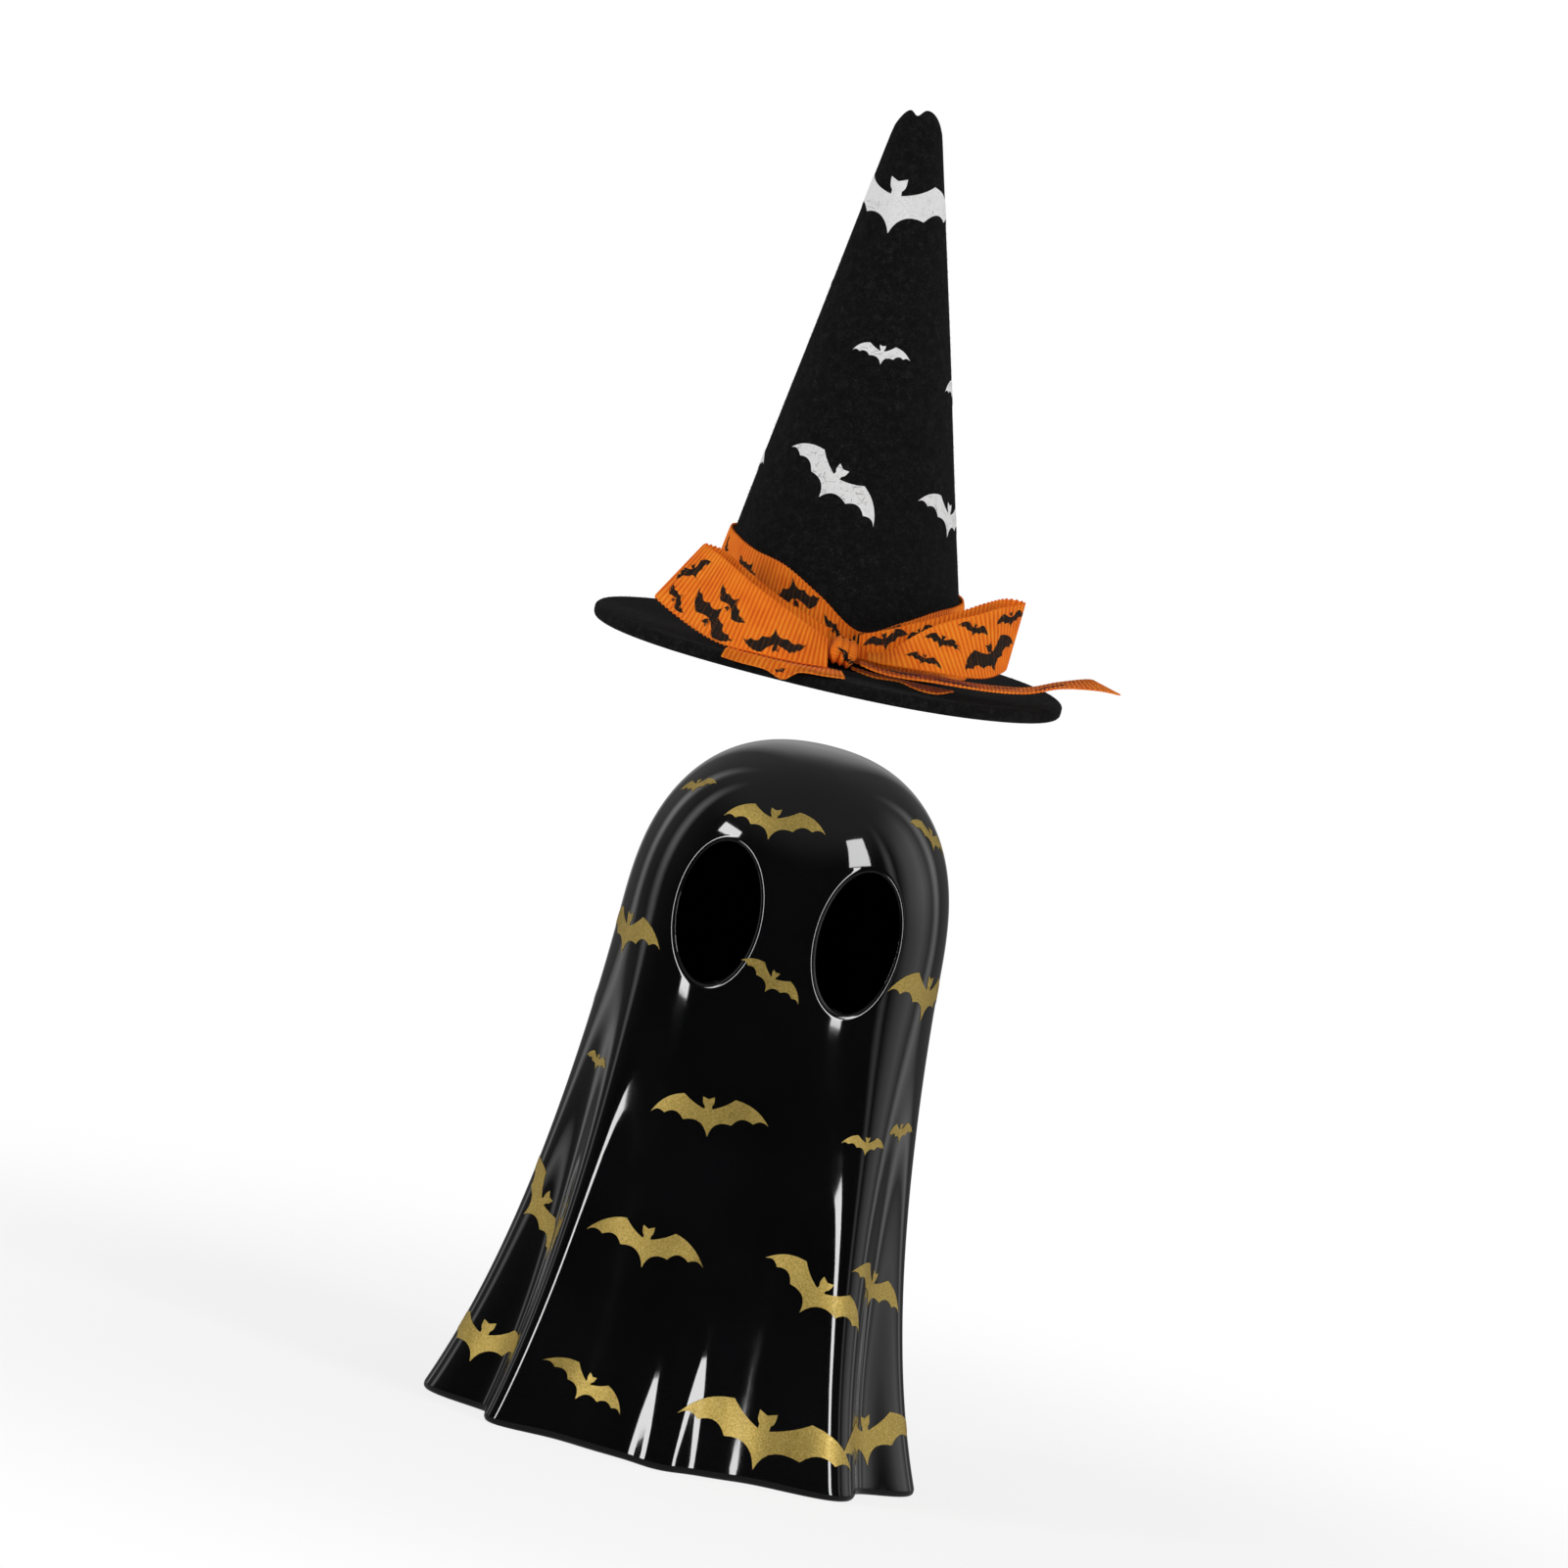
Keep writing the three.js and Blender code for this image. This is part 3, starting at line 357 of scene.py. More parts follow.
def window_loop(top, low, left, right, count):
    """The points round a window: down its first column and back up its last."""
    step = 1 if low > top else -1
    path = [(i, left) for i in range(top, low, step)] + [(low, j) for j in range(left, right)]
    path += [(i, right) for i in range(low, top, -step)] + [(top, j) for j in range(right, left, -1)]
    return [i * count + j % count for i, j in path]


def make_ghost(glaze, clay):
    angles = np.arange(0, 360, COLUMN)
    count = len(angles)
    rings, kinds, outside, inside = ghost_rings(angles)
    first, last = round(WINDOW_IN / COLUMN), round(WINDOW_OUT / COLUMN)
    spans = {1: (first, last), -1: (count - last, count - first)}
    skip = [(*rows, *span) for rows in (outside, inside) for span in spans.values()]
    points, faces = ring_skin(rings, skip)
    wall_faces = len(faces)
    for side, span in spans.items():
        outer = window_loop(*outside, *span, count)
        inner = window_loop(*reversed(inside), *span, count)
        points, more = eye_faces(points, outer, inner, side)
        faces += more
    ghost = add_mesh("ghost_glazed", points, faces, [glaze, clay], smooth_angle=45)
    clay_rings = {i for i, kind in enumerate(kinds) if kind == "clay"}
    for face, corners in zip(ghost.data.polygons, faces[:wall_faces]):
        if corners[0] // count in clay_rings:
            face.material_index = 1
    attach(ghost, "ghost")
    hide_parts("ghost_shell")


# Prints: bats as thin closed leaves that follow what they lie on
# Right half of a bat from between the ears to the tail: x, y, and the bulge of the line that leaves it
BAT_HALF = [
    (0.0, 0.161, 0),
    (0.048, 0.181, 0.03),
    (0.047, 0.138, 0.1),
    (0.030, 0.108, 0),
    (0.031, 0.081, -0.05),
    (0.216, 0.186, 0.114),
    (0.500, 0.0, -0.22),
    (0.376, 0.0065, -0.25),
    (0.204, -0.024, -0.25),
    (0.0, -0.141, 0),
]
SHOULDER_X, SHOULDER_Y = 0.031, 0.081  # a wing lifts about this point
LIFT_BLEND = 0.12  # how far out from it the wing has the whole lift
ARC_STEPS = 7


def arc(a, b, bulge):
    """Points from a up to b on a bent line. A positive bulge is outwards, to the left of the way."""
    a, b = np.array(a), np.array(b)
    along = b - a
    side = np.array([-along[1], along[0]])
    t = np.arange(ARC_STEPS)[:, None] / ARC_STEPS
    return a + along * t + side * bulge * 4 * t * (1 - t)


def bat_outline(width, tilt, lift_left=0, lift_right=0, stout=1):
    """A bat's closed outline, anticlockwise. The lifts (degrees) raise each wing about its shoulder."""

    def half(sign, lift):
        out = []
        turn = math.radians(lift)
        pts = []
        for x, y, bulge in BAT_HALF:
            share = min(max((x - SHOULDER_X) / LIFT_BLEND, 0), 1)
            dx, dy = x - SHOULDER_X, y - SHOULDER_Y
            rx = dx * math.cos(turn) - dy * math.sin(turn) + SHOULDER_X
            ry = dx * math.sin(turn) + dy * math.cos(turn) + SHOULDER_Y
            pts.append((x + (rx - x) * share, y + (ry - y) * share, bulge))
        for (x0, y0, b), (x1, y1, _) in zip(pts, pts[1:]):
            out.extend(arc((x0, y0), (x1, y1), b))
        out.append(np.array(pts[-1][:2]))
        out = np.array(out)
        out[:, 0] *= sign
        return out

    path = np.vstack([half(1, lift_right), half(-1, lift_left)[-2:0:-1]])[::-1]
    path = path * width * np.array([1, stout])
    c, s = math.cos(math.radians(tilt)), math.sin(math.radians(tilt))
    return path @ np.array([[c, s], [-s, c]])


def fill_outline(outline, spacing):
    """Points and triangles inside a closed outline, with a lattice so that they can bend."""
    closed = np.vstack([outline, outline[:1]])
    edge = []
    for a, b in zip(closed, closed[1:]):
        n = max(1, int(np.ceil(np.linalg.norm(b - a) / spacing)))
        edge.extend(a + (b - a) * i / n for i in range(n))
    edge = np.array(edge)
    low, high = edge.min(axis=0), edge.max(axis=0)
    grid = []
    for row, y in enumerate(np.arange(low[1], high[1], spacing * 0.87)):
        for x in np.arange(low[0] + (row % 2) * spacing / 2, high[0], spacing):
            near = np.min(np.hypot(edge[:, 0] - x, edge[:, 1] - y))
            if near > spacing * 0.45:
                grid.append((x, y))
    points = [Vector(p) for p in edge] + [Vector(p) for p in grid]
    loop = list(range(len(edge)))
    out = delaunay_2d_cdt(points, [], [loop], 1, 1e-6)
    return np.array([tuple(p) for p in out[0]]), [tuple(f) for f in out[2]]


def make_prints(name, leaves, paint, spacing, thickness):
    """One piece of thin closed leaves, each an outline and the place(uv, lift) that lays it."""
    points, faces = [], []
    for outline, place in leaves:
        uv, tris = fill_outline(outline, spacing)
        base, n = len(points), len(uv)
        points.extend(place(uv, thickness))
        points.extend(place(uv, 0))
        for t in tris:
            faces.append([base + i for i in t])
            faces.append([base + n + i for i in reversed(t)])
        sides = dict.fromkeys(side for a, b, c in tris for side in ((a, b), (b, c), (c, a)))
        for a, b in sides:
            if (b, a) not in sides:
                faces.append((base + a, base + n + a, base + n + b, base + b))
    return add_mesh(name, points, faces, [paint], smooth_angle=60)


GOLD_LIFT = 0.04  # of the gold off the glaze
LEAST_RADIUS = 8  # a print is laid as on a ghost whose radius is no less than this


def ghost_place(angle, z):
    """Lays a print on the ghost about a point: u along the surface to the right, v up it."""
    heights = np.linspace(1, GHOST_HEIGHT - 1.5, 1500)
    radius = ghost_radius(angle, heights)
    climb = np.concatenate([[0], np.cumsum(np.hypot(np.diff(radius), np.diff(heights)))])
    start = np.interp(z, heights, climb)

    def place(uv, above):
        zs = np.interp(start + uv[:, 1], climb, heights)
        angles = angle + np.degrees(uv[:, 0] / np.maximum(core_radius(zs), LEAST_RADIUS))
        for _ in range(3):
            mean = (ghost_radius(angle, zs) + ghost_radius(angles, zs)) / 2
            angles = angle + np.degrees(uv[:, 0] / np.maximum(mean, LEAST_RADIUS))
        step = 0.05
        point = around(ghost_radius(angles, zs), angles, zs)
        side = around(ghost_radius(angles + step, zs), angles + step, zs) - point
        rise = around(ghost_radius(angles, zs + step), angles, zs + step) - point
        normal = np.cross(side, rise)
        normal /= np.linalg.norm(normal, axis=1)[:, None]
        return point + normal * (GOLD_LIFT + above)

    return place


GOLD_BATS = [  # degrees from the front, height, width, tilt, wing lifts (left, right)
    (-16.1, 134.4, 22.4, 3.5, 0, 0),
    (-66, 137, 12, 24, 0, 0),
    (71, 136.5, 17, -28, 0, 0),
    (-70.3, 103.6, 28, -0.3, 0, 0),
    (-2.2, 103.2, 15.2, -18, 6.6, -8.3),
    (68.1, 103.7, 30, -7.5, 0, 0),
    (-68.2, 76.4, 10.7, -4.8, 0, 0),
    (-12.9, 72.6, 25.7, 10.1, 3.4, -4.9),
    (46.5, 72.8, 12.4, -2.3, 0, 0),
    (69.2, 75.4, 13.0, 0.4, 0, 0),
    (-78.6, 43.5, 26, -46.3, 0, 0),
    (-24.5, 43.0, 27.0, 3.3, 6.5, -5.8),
    (36.8, 40.2, 27.6, -32.4, -3.0, 7.2),
    (65.7, 42.2, 24.8, -22, 0, 0),
    (-77.9, 12.8, 29.3, -1.0, 0, 0),
    (-33.0, 11.7, 19.9, -23.3, -1.6, 6.4),
    (27.7, 8.6, 38.7, -7.5, 4.0, 0.5),
    (70.5, 10.6, 33, 6.6, 0, 0),
    # sides and back
    (-112, 121, 15, 14, 0, 0),
    (-108, 88, 23, -10, 0, 4),
    (-118, 60, 11, 18, 0, 0),
    (-113, 33, 24, 6, 2, 2),
    (-135, 11.5, 21, -12, 0, 0),
    (-142, 106, 17, -20, 0, 0),
    (-148, 76, 21, 10, 0, 0),
    (-160, 45, 15, -16, 0, 0),
    (-172, 129, 21, 6, 2, 4),
    (175, 97, 12, 20, 0, 0),
    (-178, 66, 27, -6, 0, 4),
    (180, 21, 33, 5, 0, 2),
    (148, 111, 16, -12, 0, 0),
    (146, 82, 9, 16, 0, 0),
    (143, 50, 24, 14, 2, 0),
    (135, 12, 22, -6, 0, 0),
    (112, 126, 18, 8, 0, 0),
    (110, 94, 20, 14, 0, 0),
    (112, 66, 13, -14, 0, 0),
    (109, 33, 23, -8, 0, 2),
]


def make_gold(gold):
    leaves = [(bat_outline(*shape), ghost_place(angle, z)) for angle, z, *shape in GOLD_BATS]
    bats = make_prints("gold_bats", leaves, gold, spacing=0.9, thickness=0.03)
    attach(bats, "ghost")


# Hat
def wobble(angle, height, seed):
    """A slow unevenness from -1 to 1, the same for the same seed."""
    a = np.radians(angle)
    return (
        np.sin(2 * a + 0.045 * height + seed)
        + 0.6 * np.sin(3 * a - 0.08 * height + 2.1 * seed)
        + 0.4 * np.sin(5 * a + 0.13 * height + 3.7 * seed)
    ) / 2


SEAT_DROP = 0.36  # how far the cone's felt edge is pressed down onto the brim
SEAM = 176  # degrees from the front to the cone's overlapped edge
SEAM_WIDTH = 16  # how far the overlap goes round
SEAM_RISE, TIP_SEAM_RISE = 0.55, 0.175
TIP_FULLNESS = 2.95
NOTCH_DEPTH = 1.25 * TIP_LOBE
RIDGE_SIDE, RIDGE_SPREAD = -12, 13  # degrees, of the soft ridge below the notch
RIDGE_RISE = 0.45
CONE_COLUMN, BRIM_COLUMN = 1.8, 1.5  # degrees between columns of points


def seam_step(angle):
    turn = (np.asarray(angle, float) - SEAM + 540) % 360 - 180
    rise = 1 / (1 + np.exp(-turn / 0.5))
    fall = 1 / (1 + np.exp((turn - SEAM_WIDTH) / 3.5))
    return rise * fall


def cone_axis(share):
    """The cone's lean to the side at a share of its height."""
    return -HAT_LEAN * share


def plain_radius(share):
    """The cone's outer radius without its unevenness."""
    return CONE_RADIUS + (TIP_RADIUS - CONE_RADIUS) * share


def cone_radius(angle, share):
    """The felt's outer radius: a straight cone, a soft ridge below the notch, and the seam."""
    share = np.asarray(share, float)
    turn = (np.asarray(angle, float) - RIDGE_SIDE + 540) % 360 - 180
    ridge = RIDGE_RISE * np.exp(-((turn / RIDGE_SPREAD) ** 2)) * np.clip((share - 0.35) / 0.4, 0, 1)
    uneven = 0.18 * wobble(angle, 100 * share, 1.3) * (1 - 0.6 * share)
    return plain_radius(share) + uneven + ridge + SEAM_RISE * seam_step(angle)


def cone_point(angle, height, above=0):
    """A point on the cone's outside, at a height above its foot."""
    share = np.asarray(height, float) / CONE_HEIGHT
    point = around(cone_radius(angle, share) + above, angle, CONE_FOOT + np.asarray(height, float))
    point[..., 0] += cone_axis(share)
    return point + HAT


def make_cone(felt):
    angles = np.arange(0, 360, CONE_COLUMN)
    rings = []

    def tip_ring(out, up):
        radius = TIP_RADIUS * out + TIP_SEAM_RISE * out * seam_step(angles)
        a = np.radians(angles)
        x = radius * np.sin(a)
        dip = NOTCH_DEPTH * np.exp(-(((x + NOTCH_SIDE) / NOTCH_WIDTH) ** 2))
        z = CONE_FOOT + CONE_HEIGHT + TIP_RISE * up - dip * min(1, up + 0.25)
        ring = np.stack([cone_axis(1) + x, -radius * np.cos(a), z], axis=-1)
        rings.append(ring + HAT)

    for out in (0.08, 0.16, 0.24, 0.32, 0.4, 0.48, 0.56, 0.64, 0.72, 0.8, 0.87, 0.93, 0.97):
        tip_ring(out, 1.02 - out**TIP_FULLNESS)
    for share in np.linspace(0.985, 0, 120):
        rings.append(cone_point(angles, share * CONE_HEIGHT))
    foot = rings.pop()
    rings.append(foot + np.array([0, 0, 0.35]))
    half = ((0.08, 0.12), (0.35, 0), (1.2, 0))
    for inset, rise in (*half, (FELT - 0.35, 0), (FELT - 0.08, 0.12), (FELT, 0.35)):
        rings.append(cone_point(angles, 0, -inset) + np.array([0, 0, rise - SEAT_DROP]))
    for share in np.linspace(0.02, 0.93, 40):
        rings.append(cone_point(angles, share * CONE_HEIGHT, -FELT))
    points, faces = ring_skin(rings)
    cone = add_mesh("felt_cone", points, faces, [felt], smooth_angle=50)
    ride_hat(cone)
    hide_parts("hat_cone")


def brim_point(angle, radius, side):
    """side 1 is the brim's top face and -1 its underside, at the face's own height."""
    out = np.asarray(radius, float) / BRIM_RADIUS
    lift = 0.22 * wobble(angle, 0, 4.2) * out**3
    return around(radius, angle, side * BRIM_TOP + lift) + HAT


def make_brim(felt):
    angles = np.arange(0, 360, BRIM_COLUMN)
    hole = CONE_RADIUS - FELT
    edge = BRIM_RADIUS - BRIM_ROUND
    rough = 0.12 * wobble(angles, 0, 9.1) + rng.normal(0, 0.03, len(angles))
    profile = [(r, 1) for r in np.linspace(hole + 0.3, edge, 22)]
    turns = np.radians(np.linspace(0, 90, 6))[1:]
    rim = [(edge + BRIM_ROUND * math.sin(t), 1 - BRIM_ROUND / BRIM_TOP * (1 - math.cos(t))) for t in turns]
    profile += rim + [(r, -s) for r, s in reversed(rim)]
    profile += [(r, -1) for r in np.linspace(edge, hole + 0.3, 16)]
    profile += [(hole, -0.85), (hole, 0), (hole, 0.85)]
    points, faces = [], []
    count, rows = len(angles), len(profile)
    for radius, side in profile:
        shake = rough * max(0, (radius - edge) / BRIM_ROUND)
        points.extend(brim_point(angles, radius + shake, side))
    for i in range(rows):
        faces.extend(ring_quad(i, (i + 1) % rows, j, count) for j in range(count))
    brim = add_mesh("felt_brim", points, faces, [felt], smooth_angle=50)
    ride_hat(brim)
    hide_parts("hat_brim")


CONE_FIBRES, BRIM_FIBRES = 5200, 3600
FIBRES_FROM = 30  # radius on the brim
FIBRE_SHORTEST = 0.7
FIBRE_WIDTHS = (0.02, 0.036)  # half widths, least and most
FIBRE_LIFT = 0.03
FIBRE_ARCH = (0.02, 0.2)  # how far its middle stands off, least and most
FIBRE_STEPS = 4


def make_fibres(felt):
    """Loose fibres of the felt, each a thin bent ribbon that lies close over it."""
    points, faces = [], []

    def fibre(point_at, place, longest):
        """Grows a fibre at a random angle, where place is the felt's height or radius there."""
        angle = rng.uniform(0, 360)
        here = point_at(angle, place)
        round_felt = point_at(angle + 0.05, place) - here
        normal = np.cross(round_felt, point_at(angle, place + 0.05) - here)
        round_felt = round_felt / np.linalg.norm(round_felt)
        normal = normal / np.linalg.norm(normal) * np.sign(normal[2])
        turn = rng.uniform(0, 2 * math.pi)
        along = round_felt * math.cos(turn) + np.cross(normal, round_felt) * math.sin(turn)
        length = rng.uniform(FIBRE_SHORTEST, longest)
        bend = np.cross(normal, along)
        curl = rng.normal(0, 0.35)
        width = rng.uniform(*FIBRE_WIDTHS)
        arch = rng.uniform(*FIBRE_ARCH)
        base = len(points)
        for k in range(FIBRE_STEPS + 1):
            t = k / FIBRE_STEPS
            middle = here + along * length * t + bend * curl * length * t * t
            middle = middle + normal * (FIBRE_LIFT + arch * math.sin(math.pi * min(1, 1.15 * t)))
            points.extend((middle - bend * width, middle + bend * width))
        for a in range(base, base + 2 * FIBRE_STEPS, 2):
            faces.append((a, a + 1, a + 3, a + 2))

    for _ in range(CONE_FIBRES):
        fibre(cone_point, (1 - math.sqrt(rng.uniform(0.02, 1))) * CONE_HEIGHT, 2.2)
    for _ in range(BRIM_FIBRES):
        radius = math.sqrt(rng.uniform(FIBRES_FROM**2, (BRIM_RADIUS - 1) ** 2))
        fibre(lambda angle, out: brim_point(angle, out, 1), radius, 2.0)
    fibres = add_mesh("felt_fibres", points, faces, [felt], smooth_angle=0)
    ride_hat(fibres)


WHITE_LIFT = 0.05  # of the white print off the felt


def cone_place(angle, height):
    def place(uv, above):
        heights = height + uv[:, 1]
        turn = np.degrees(uv[:, 0] / plain_radius(heights / CONE_HEIGHT))
        return cone_point(angle + turn, heights, WHITE_LIFT + above)

    return place


WHITE_BATS = [  # degrees from the front, height on the cone, width, tilt, wing lifts (left, right)
    (-17.5, 93.5, 36, 1.1, -8.7, -6.5),
    (-0.3, 63.7, 12.4, 0.9, 0, 0),
    (-17.5, 35.9, 25.3, -29.4, -5.2, -2.4),
    (66, 32.4, 22, -16, 4, 0),
    (93, 57.5, 16, -8, 0, 0),
    (-104, 33.5, 20, 12, 0, 0),
    (-118, 73, 13, 16, 0, 0),
    (-140, 52, 21, -10, 0, 0),
    (-172, 80, 13, 8, 0, 0),
    (-148, 24, 12, 14, 0, 0),
    (150, 36, 23, 10, 0, 4),
    (135, 70, 14, -14, 0, 0),
    (163, 96, 10, 10, 0, 0),
    (108, 22, 13, -8, 0, 0),
]


def make_white(paint):
    leaves = [(bat_outline(*shape), cone_place(angle, height)) for angle, height, *shape in WHITE_BATS]
    bats = make_prints("white_bats", leaves, paint, spacing=0.7, thickness=0.05)
    ride_hat(bats)


# Ribbon
def spline(stations, at, closed):
    """A centripetal curve through the stations, at places counted in stations."""
    count = len(stations)
    out = []
    for place in at:
        i = int(math.floor(place))
        w = place - i
        if not closed and i >= count - 1:
            i, w = count - 2, 1.0

        def get(k):
            if closed:
                return stations[k % count]
            if k < 0:
                return 2 * stations[0] - stations[1]
            if k >= count:
                return 2 * stations[-1] - stations[-2]
            return stations[k]

        p0, p1, p2, p3 = get(i - 1), get(i), get(i + 1), get(i + 2)
        pairs = ((p0, p1), (p1, p2), (p2, p3))
        d0, d1, d2 = (max(np.linalg.norm(b - a) ** 0.5, 1e-4) for a, b in pairs)
        t1 = ((p1 - p0) / d0 - (p2 - p0) / (d0 + d1) + (p2 - p1) / d1) * d1
        t2 = ((p2 - p1) / d1 - (p3 - p1) / (d1 + d2) + (p3 - p2) / d2) * d1
        c2 = -3 * p1 + 3 * p2 - 2 * t1 - t2
        c3 = 2 * p1 - 2 * p2 + t1 + t2
        out.append(p1 + t1 * w + c2 * w * w + c3 * w**3)
    return np.array(out)


def set_uv(piece, flat):
    """Lays the flat places (length, across) in the piece's map, a unit to a millimetre."""
    layer = piece.data.uv_layers.new(name="flat")
    corners = np.empty(len(piece.data.loops), dtype=np.int32)
    piece.data.loops.foreach_get("vertex_index", corners)
    layer.data.foreach_set("uv", np.asarray(flat, float)[corners].ravel())


STEPS_PER_STATION = 14
WOVEN_EDGE = 0.05  # share of the width at each edge over which the ribs fade


class Ribbon:
    """A ribbon laid over stations, each a row of points from its upper edge to its lower one."""

    def __init__(self, stations, closed=False):
        edges = np.asarray(stations, float).swapaxes(0, 1)
        spans = len(stations) if closed else len(stations) - 1
        fine = np.linspace(0, spans, spans * STEPS_PER_STATION + 1)
        curves = np.stack([spline(edge, fine, closed) for edge in edges], axis=1)
        steps = np.diff(curves.mean(axis=1), axis=0)
        run = np.concatenate([[0], np.cumsum(np.linalg.norm(steps, axis=1))])
        self.length = run[-1]
        self.closed = closed
        self.run, self.curves = run, curves
        widths = np.linalg.norm(np.diff(curves, axis=1), axis=2).sum(axis=1)
        self.area = float(((widths[1:] + widths[:-1]) / 2 * np.diff(run)).sum())

    def base(self, u, v):
        """Points at lengths u and shares v of the width, with the surface's normal."""
        u, v = np.broadcast_arrays(np.asarray(u, float), np.asarray(v, float))

        def edge_at(edge, u):
            return np.stack([np.interp(u, self.run, self.curves[:, edge, c]) for c in range(3)], axis=-1)

        def at(u, v):
            u = np.mod(u, self.length) if self.closed else np.clip(u, 0, self.length)
            edges = self.curves.shape[1]
            rows = np.stack([edge_at(edge, u) for edge in range(edges)])
            place = np.clip(v, 0, 1) * (edges - 1)
            over = (v - np.clip(v, 0, 1)) * (edges - 1)
            i = np.minimum(place.astype(int), edges - 2)
            w = (place - i + over)[..., None]
            first = np.take_along_axis(rows, i[None, ..., None], axis=0)[0]
            second = np.take_along_axis(rows, i[None, ..., None] + 1, axis=0)[0]
            return first + (second - first) * w

        step = 0.35
        here = at(u, v)
        along = at(u + step, v) - at(u - step, v)
        across = at(u, np.maximum(v - 0.06, 0)) - at(u, np.minimum(v + 0.06, 1))
        normal = np.cross(across, along)
        normal /= np.maximum(np.linalg.norm(normal, axis=-1), 1e-9)[..., None]
        return here, normal

    def rib(self, u, v):
        """Height of the ribs over the ribbon's mean face, with a plain woven edge."""
        edge = np.clip(np.minimum(v, 1 - v) / WOVEN_EDGE, 0, 1)
        return RIB_HEIGHT * (0.35 + 0.65 * edge) * (np.abs(np.sin(math.pi * u / RIB_PITCH)) * 2 - 1)

    def face(self, u, v, side, above=0):
        here, normal = self.base(u, v)
        lift = RIBBON_THICKNESS / 2 - RIB_HEIGHT + self.rib(u, v) + above
        return here + normal * side * np.asarray(lift)[..., None]


STEPS_PER_RIB = 6
PICOT = 0.012  # how far the woven edge waves, as a share of the width


def make_ribbon(name, ribbon, material, node):
    steps = max(1, round(ribbon.length / RIB_PITCH)) * STEPS_PER_RIB
    rows = steps if ribbon.closed else steps + 1
    u = np.arange(rows) / steps * ribbon.length
    v = np.concatenate([[0, 0.03, 0.07], np.linspace(0.14, 0.86, 14), [0.93, 0.97, 1]])
    uu, vv = np.meshgrid(u, v, indexing="ij")
    picot = PICOT * np.cos(2 * math.pi * uu / RIB_PITCH)
    vv = vv + picot * (vv - 0.5) * 2 * (np.abs(vv - 0.5) > 0.45)
    points = np.vstack([ribbon.face(uu, vv, side).reshape(-1, 3) for side in (1, -1)])
    cols = len(v)
    half = rows * cols
    faces = []
    for i in range(steps):
        n = (i + 1) % rows
        for j in range(cols - 1):
            a, d, c, b = ring_quad(i, n, j, cols)
            faces.append((a, d, c, b))
            faces.append((half + a, half + b, half + c, half + d))
        a, d = i * cols, n * cols
        faces.append((a, half + a, half + d, d))
        b, c = i * cols + cols - 1, n * cols + cols - 1
        faces.append((b, c, half + c, half + b))
    if not ribbon.closed:
        for j in range(cols - 1):
            faces.append((j + 1, half + j + 1, half + j, j))
        for a in range(half - cols, half - 1):
            faces.append((a, half + a, half + a + 1, a + 1))
    piece = add_mesh(name, points, faces, [material], smooth_angle=60)
    flat = np.stack([uu, vv * RIBBON_WIDTH], axis=-1).reshape(-1, 2)
    set_uv(piece, np.vstack([flat, flat]))
    ride_hat(piece)
    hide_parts(node)


RIBBON_BAT_STOUT = 1.3  # the ribbon's bats are printed bolder than the others
INK_LIFT = 0.012  # of the ink off the ribbon
INK_THICKNESS = 0.014


def ribbon_place(ribbon, u0, v0, side):
    """Lays a print on a side of the ribbon about a length along it and a share across."""
    row = int(np.argmin(np.abs(ribbon.run - u0)))
    wide = float(np.linalg.norm(np.diff(ribbon.curves[row], axis=0), axis=1).sum())

    def place(uv, above):
        u = u0 - uv[:, 0] * side
        v = np.clip(v0 - uv[:, 1] / wide, 0.012, 0.988)
        if not ribbon.closed:
            u = np.clip(u, 0.1, ribbon.length - 0.1)
        return ribbon.face(u, v, side, INK_LIFT + above)

    return place


def make_ribbon_bats(name, ribbon, rows, ink):
    leaves = []
    for u, v, width, tilt, side in rows:
        outline = bat_outline(width, tilt, stout=RIBBON_BAT_STOUT)
        leaves.append((outline, ribbon_place(ribbon, u, v, side)))
    bats = make_prints(name, leaves, ink, spacing=0.36, thickness=INK_THICKNESS)
    ride_hat(bats)


# Stations of the ribbon, as in the CAD: ribbon widths across, out and up
BAND_EDGES = [
    [0.5, 0.1],
    [0.84, 0.14],
    [1.1, 0.17],
    [1.175, 0.2],
    [1.27, 0.29],
    [1.32, 0.33],
    [1.32, 0.33],
    [1.29, 0.3],
    [1.24, 0.26],
    [1.19, 0.21],
    [1.16, 0.17],
    [1.12, 0.13],
    [1.08, 0.09],
    [1.045, 0.06],
    [1.02, 0.05],
    [0.98, 0.05],
    [0.9, 0.05],
    [0.71, 0.06],
]
LOOP_LEFT = [
    [[-0.13, 0.613, 0.412], [-0.068, 0.863, 0.072]],
    [[-0.455, 0.65, 0.545], [-0.53, 1.087, 0.072]],
    [[-0.871, 0.587, 0.728], [-0.998, 1.05, 0.072]],
    [[-1.288, 0.425, 0.915], [-1.474, 0.831, 0.072]],
    [[-1.645, 0.163, 1.086], [-1.963, 0.437, 0.199]],
    [[-1.922, -0.163, 1.19], [-2.41, 0.038, 0.406]],
    [[-1.721, -0.15, 1.174], [-2.189, -0.038, 0.363]],
    [[-1.453, 0.062, 1.067], [-1.647, 0.175, 0.214]],
    [[-1.094, 0.212, 0.889], [-1.158, 0.363, 0.126]],
    [[-0.678, 0.3, 0.708], [-0.591, 0.488, 0.106]],
    [[-0.309, 0.325, 0.572], [-0.22, 0.525, 0.085]],
    [[-0.149, 0.325, 0.508], [-0.062, 0.5, 0.094]],
]
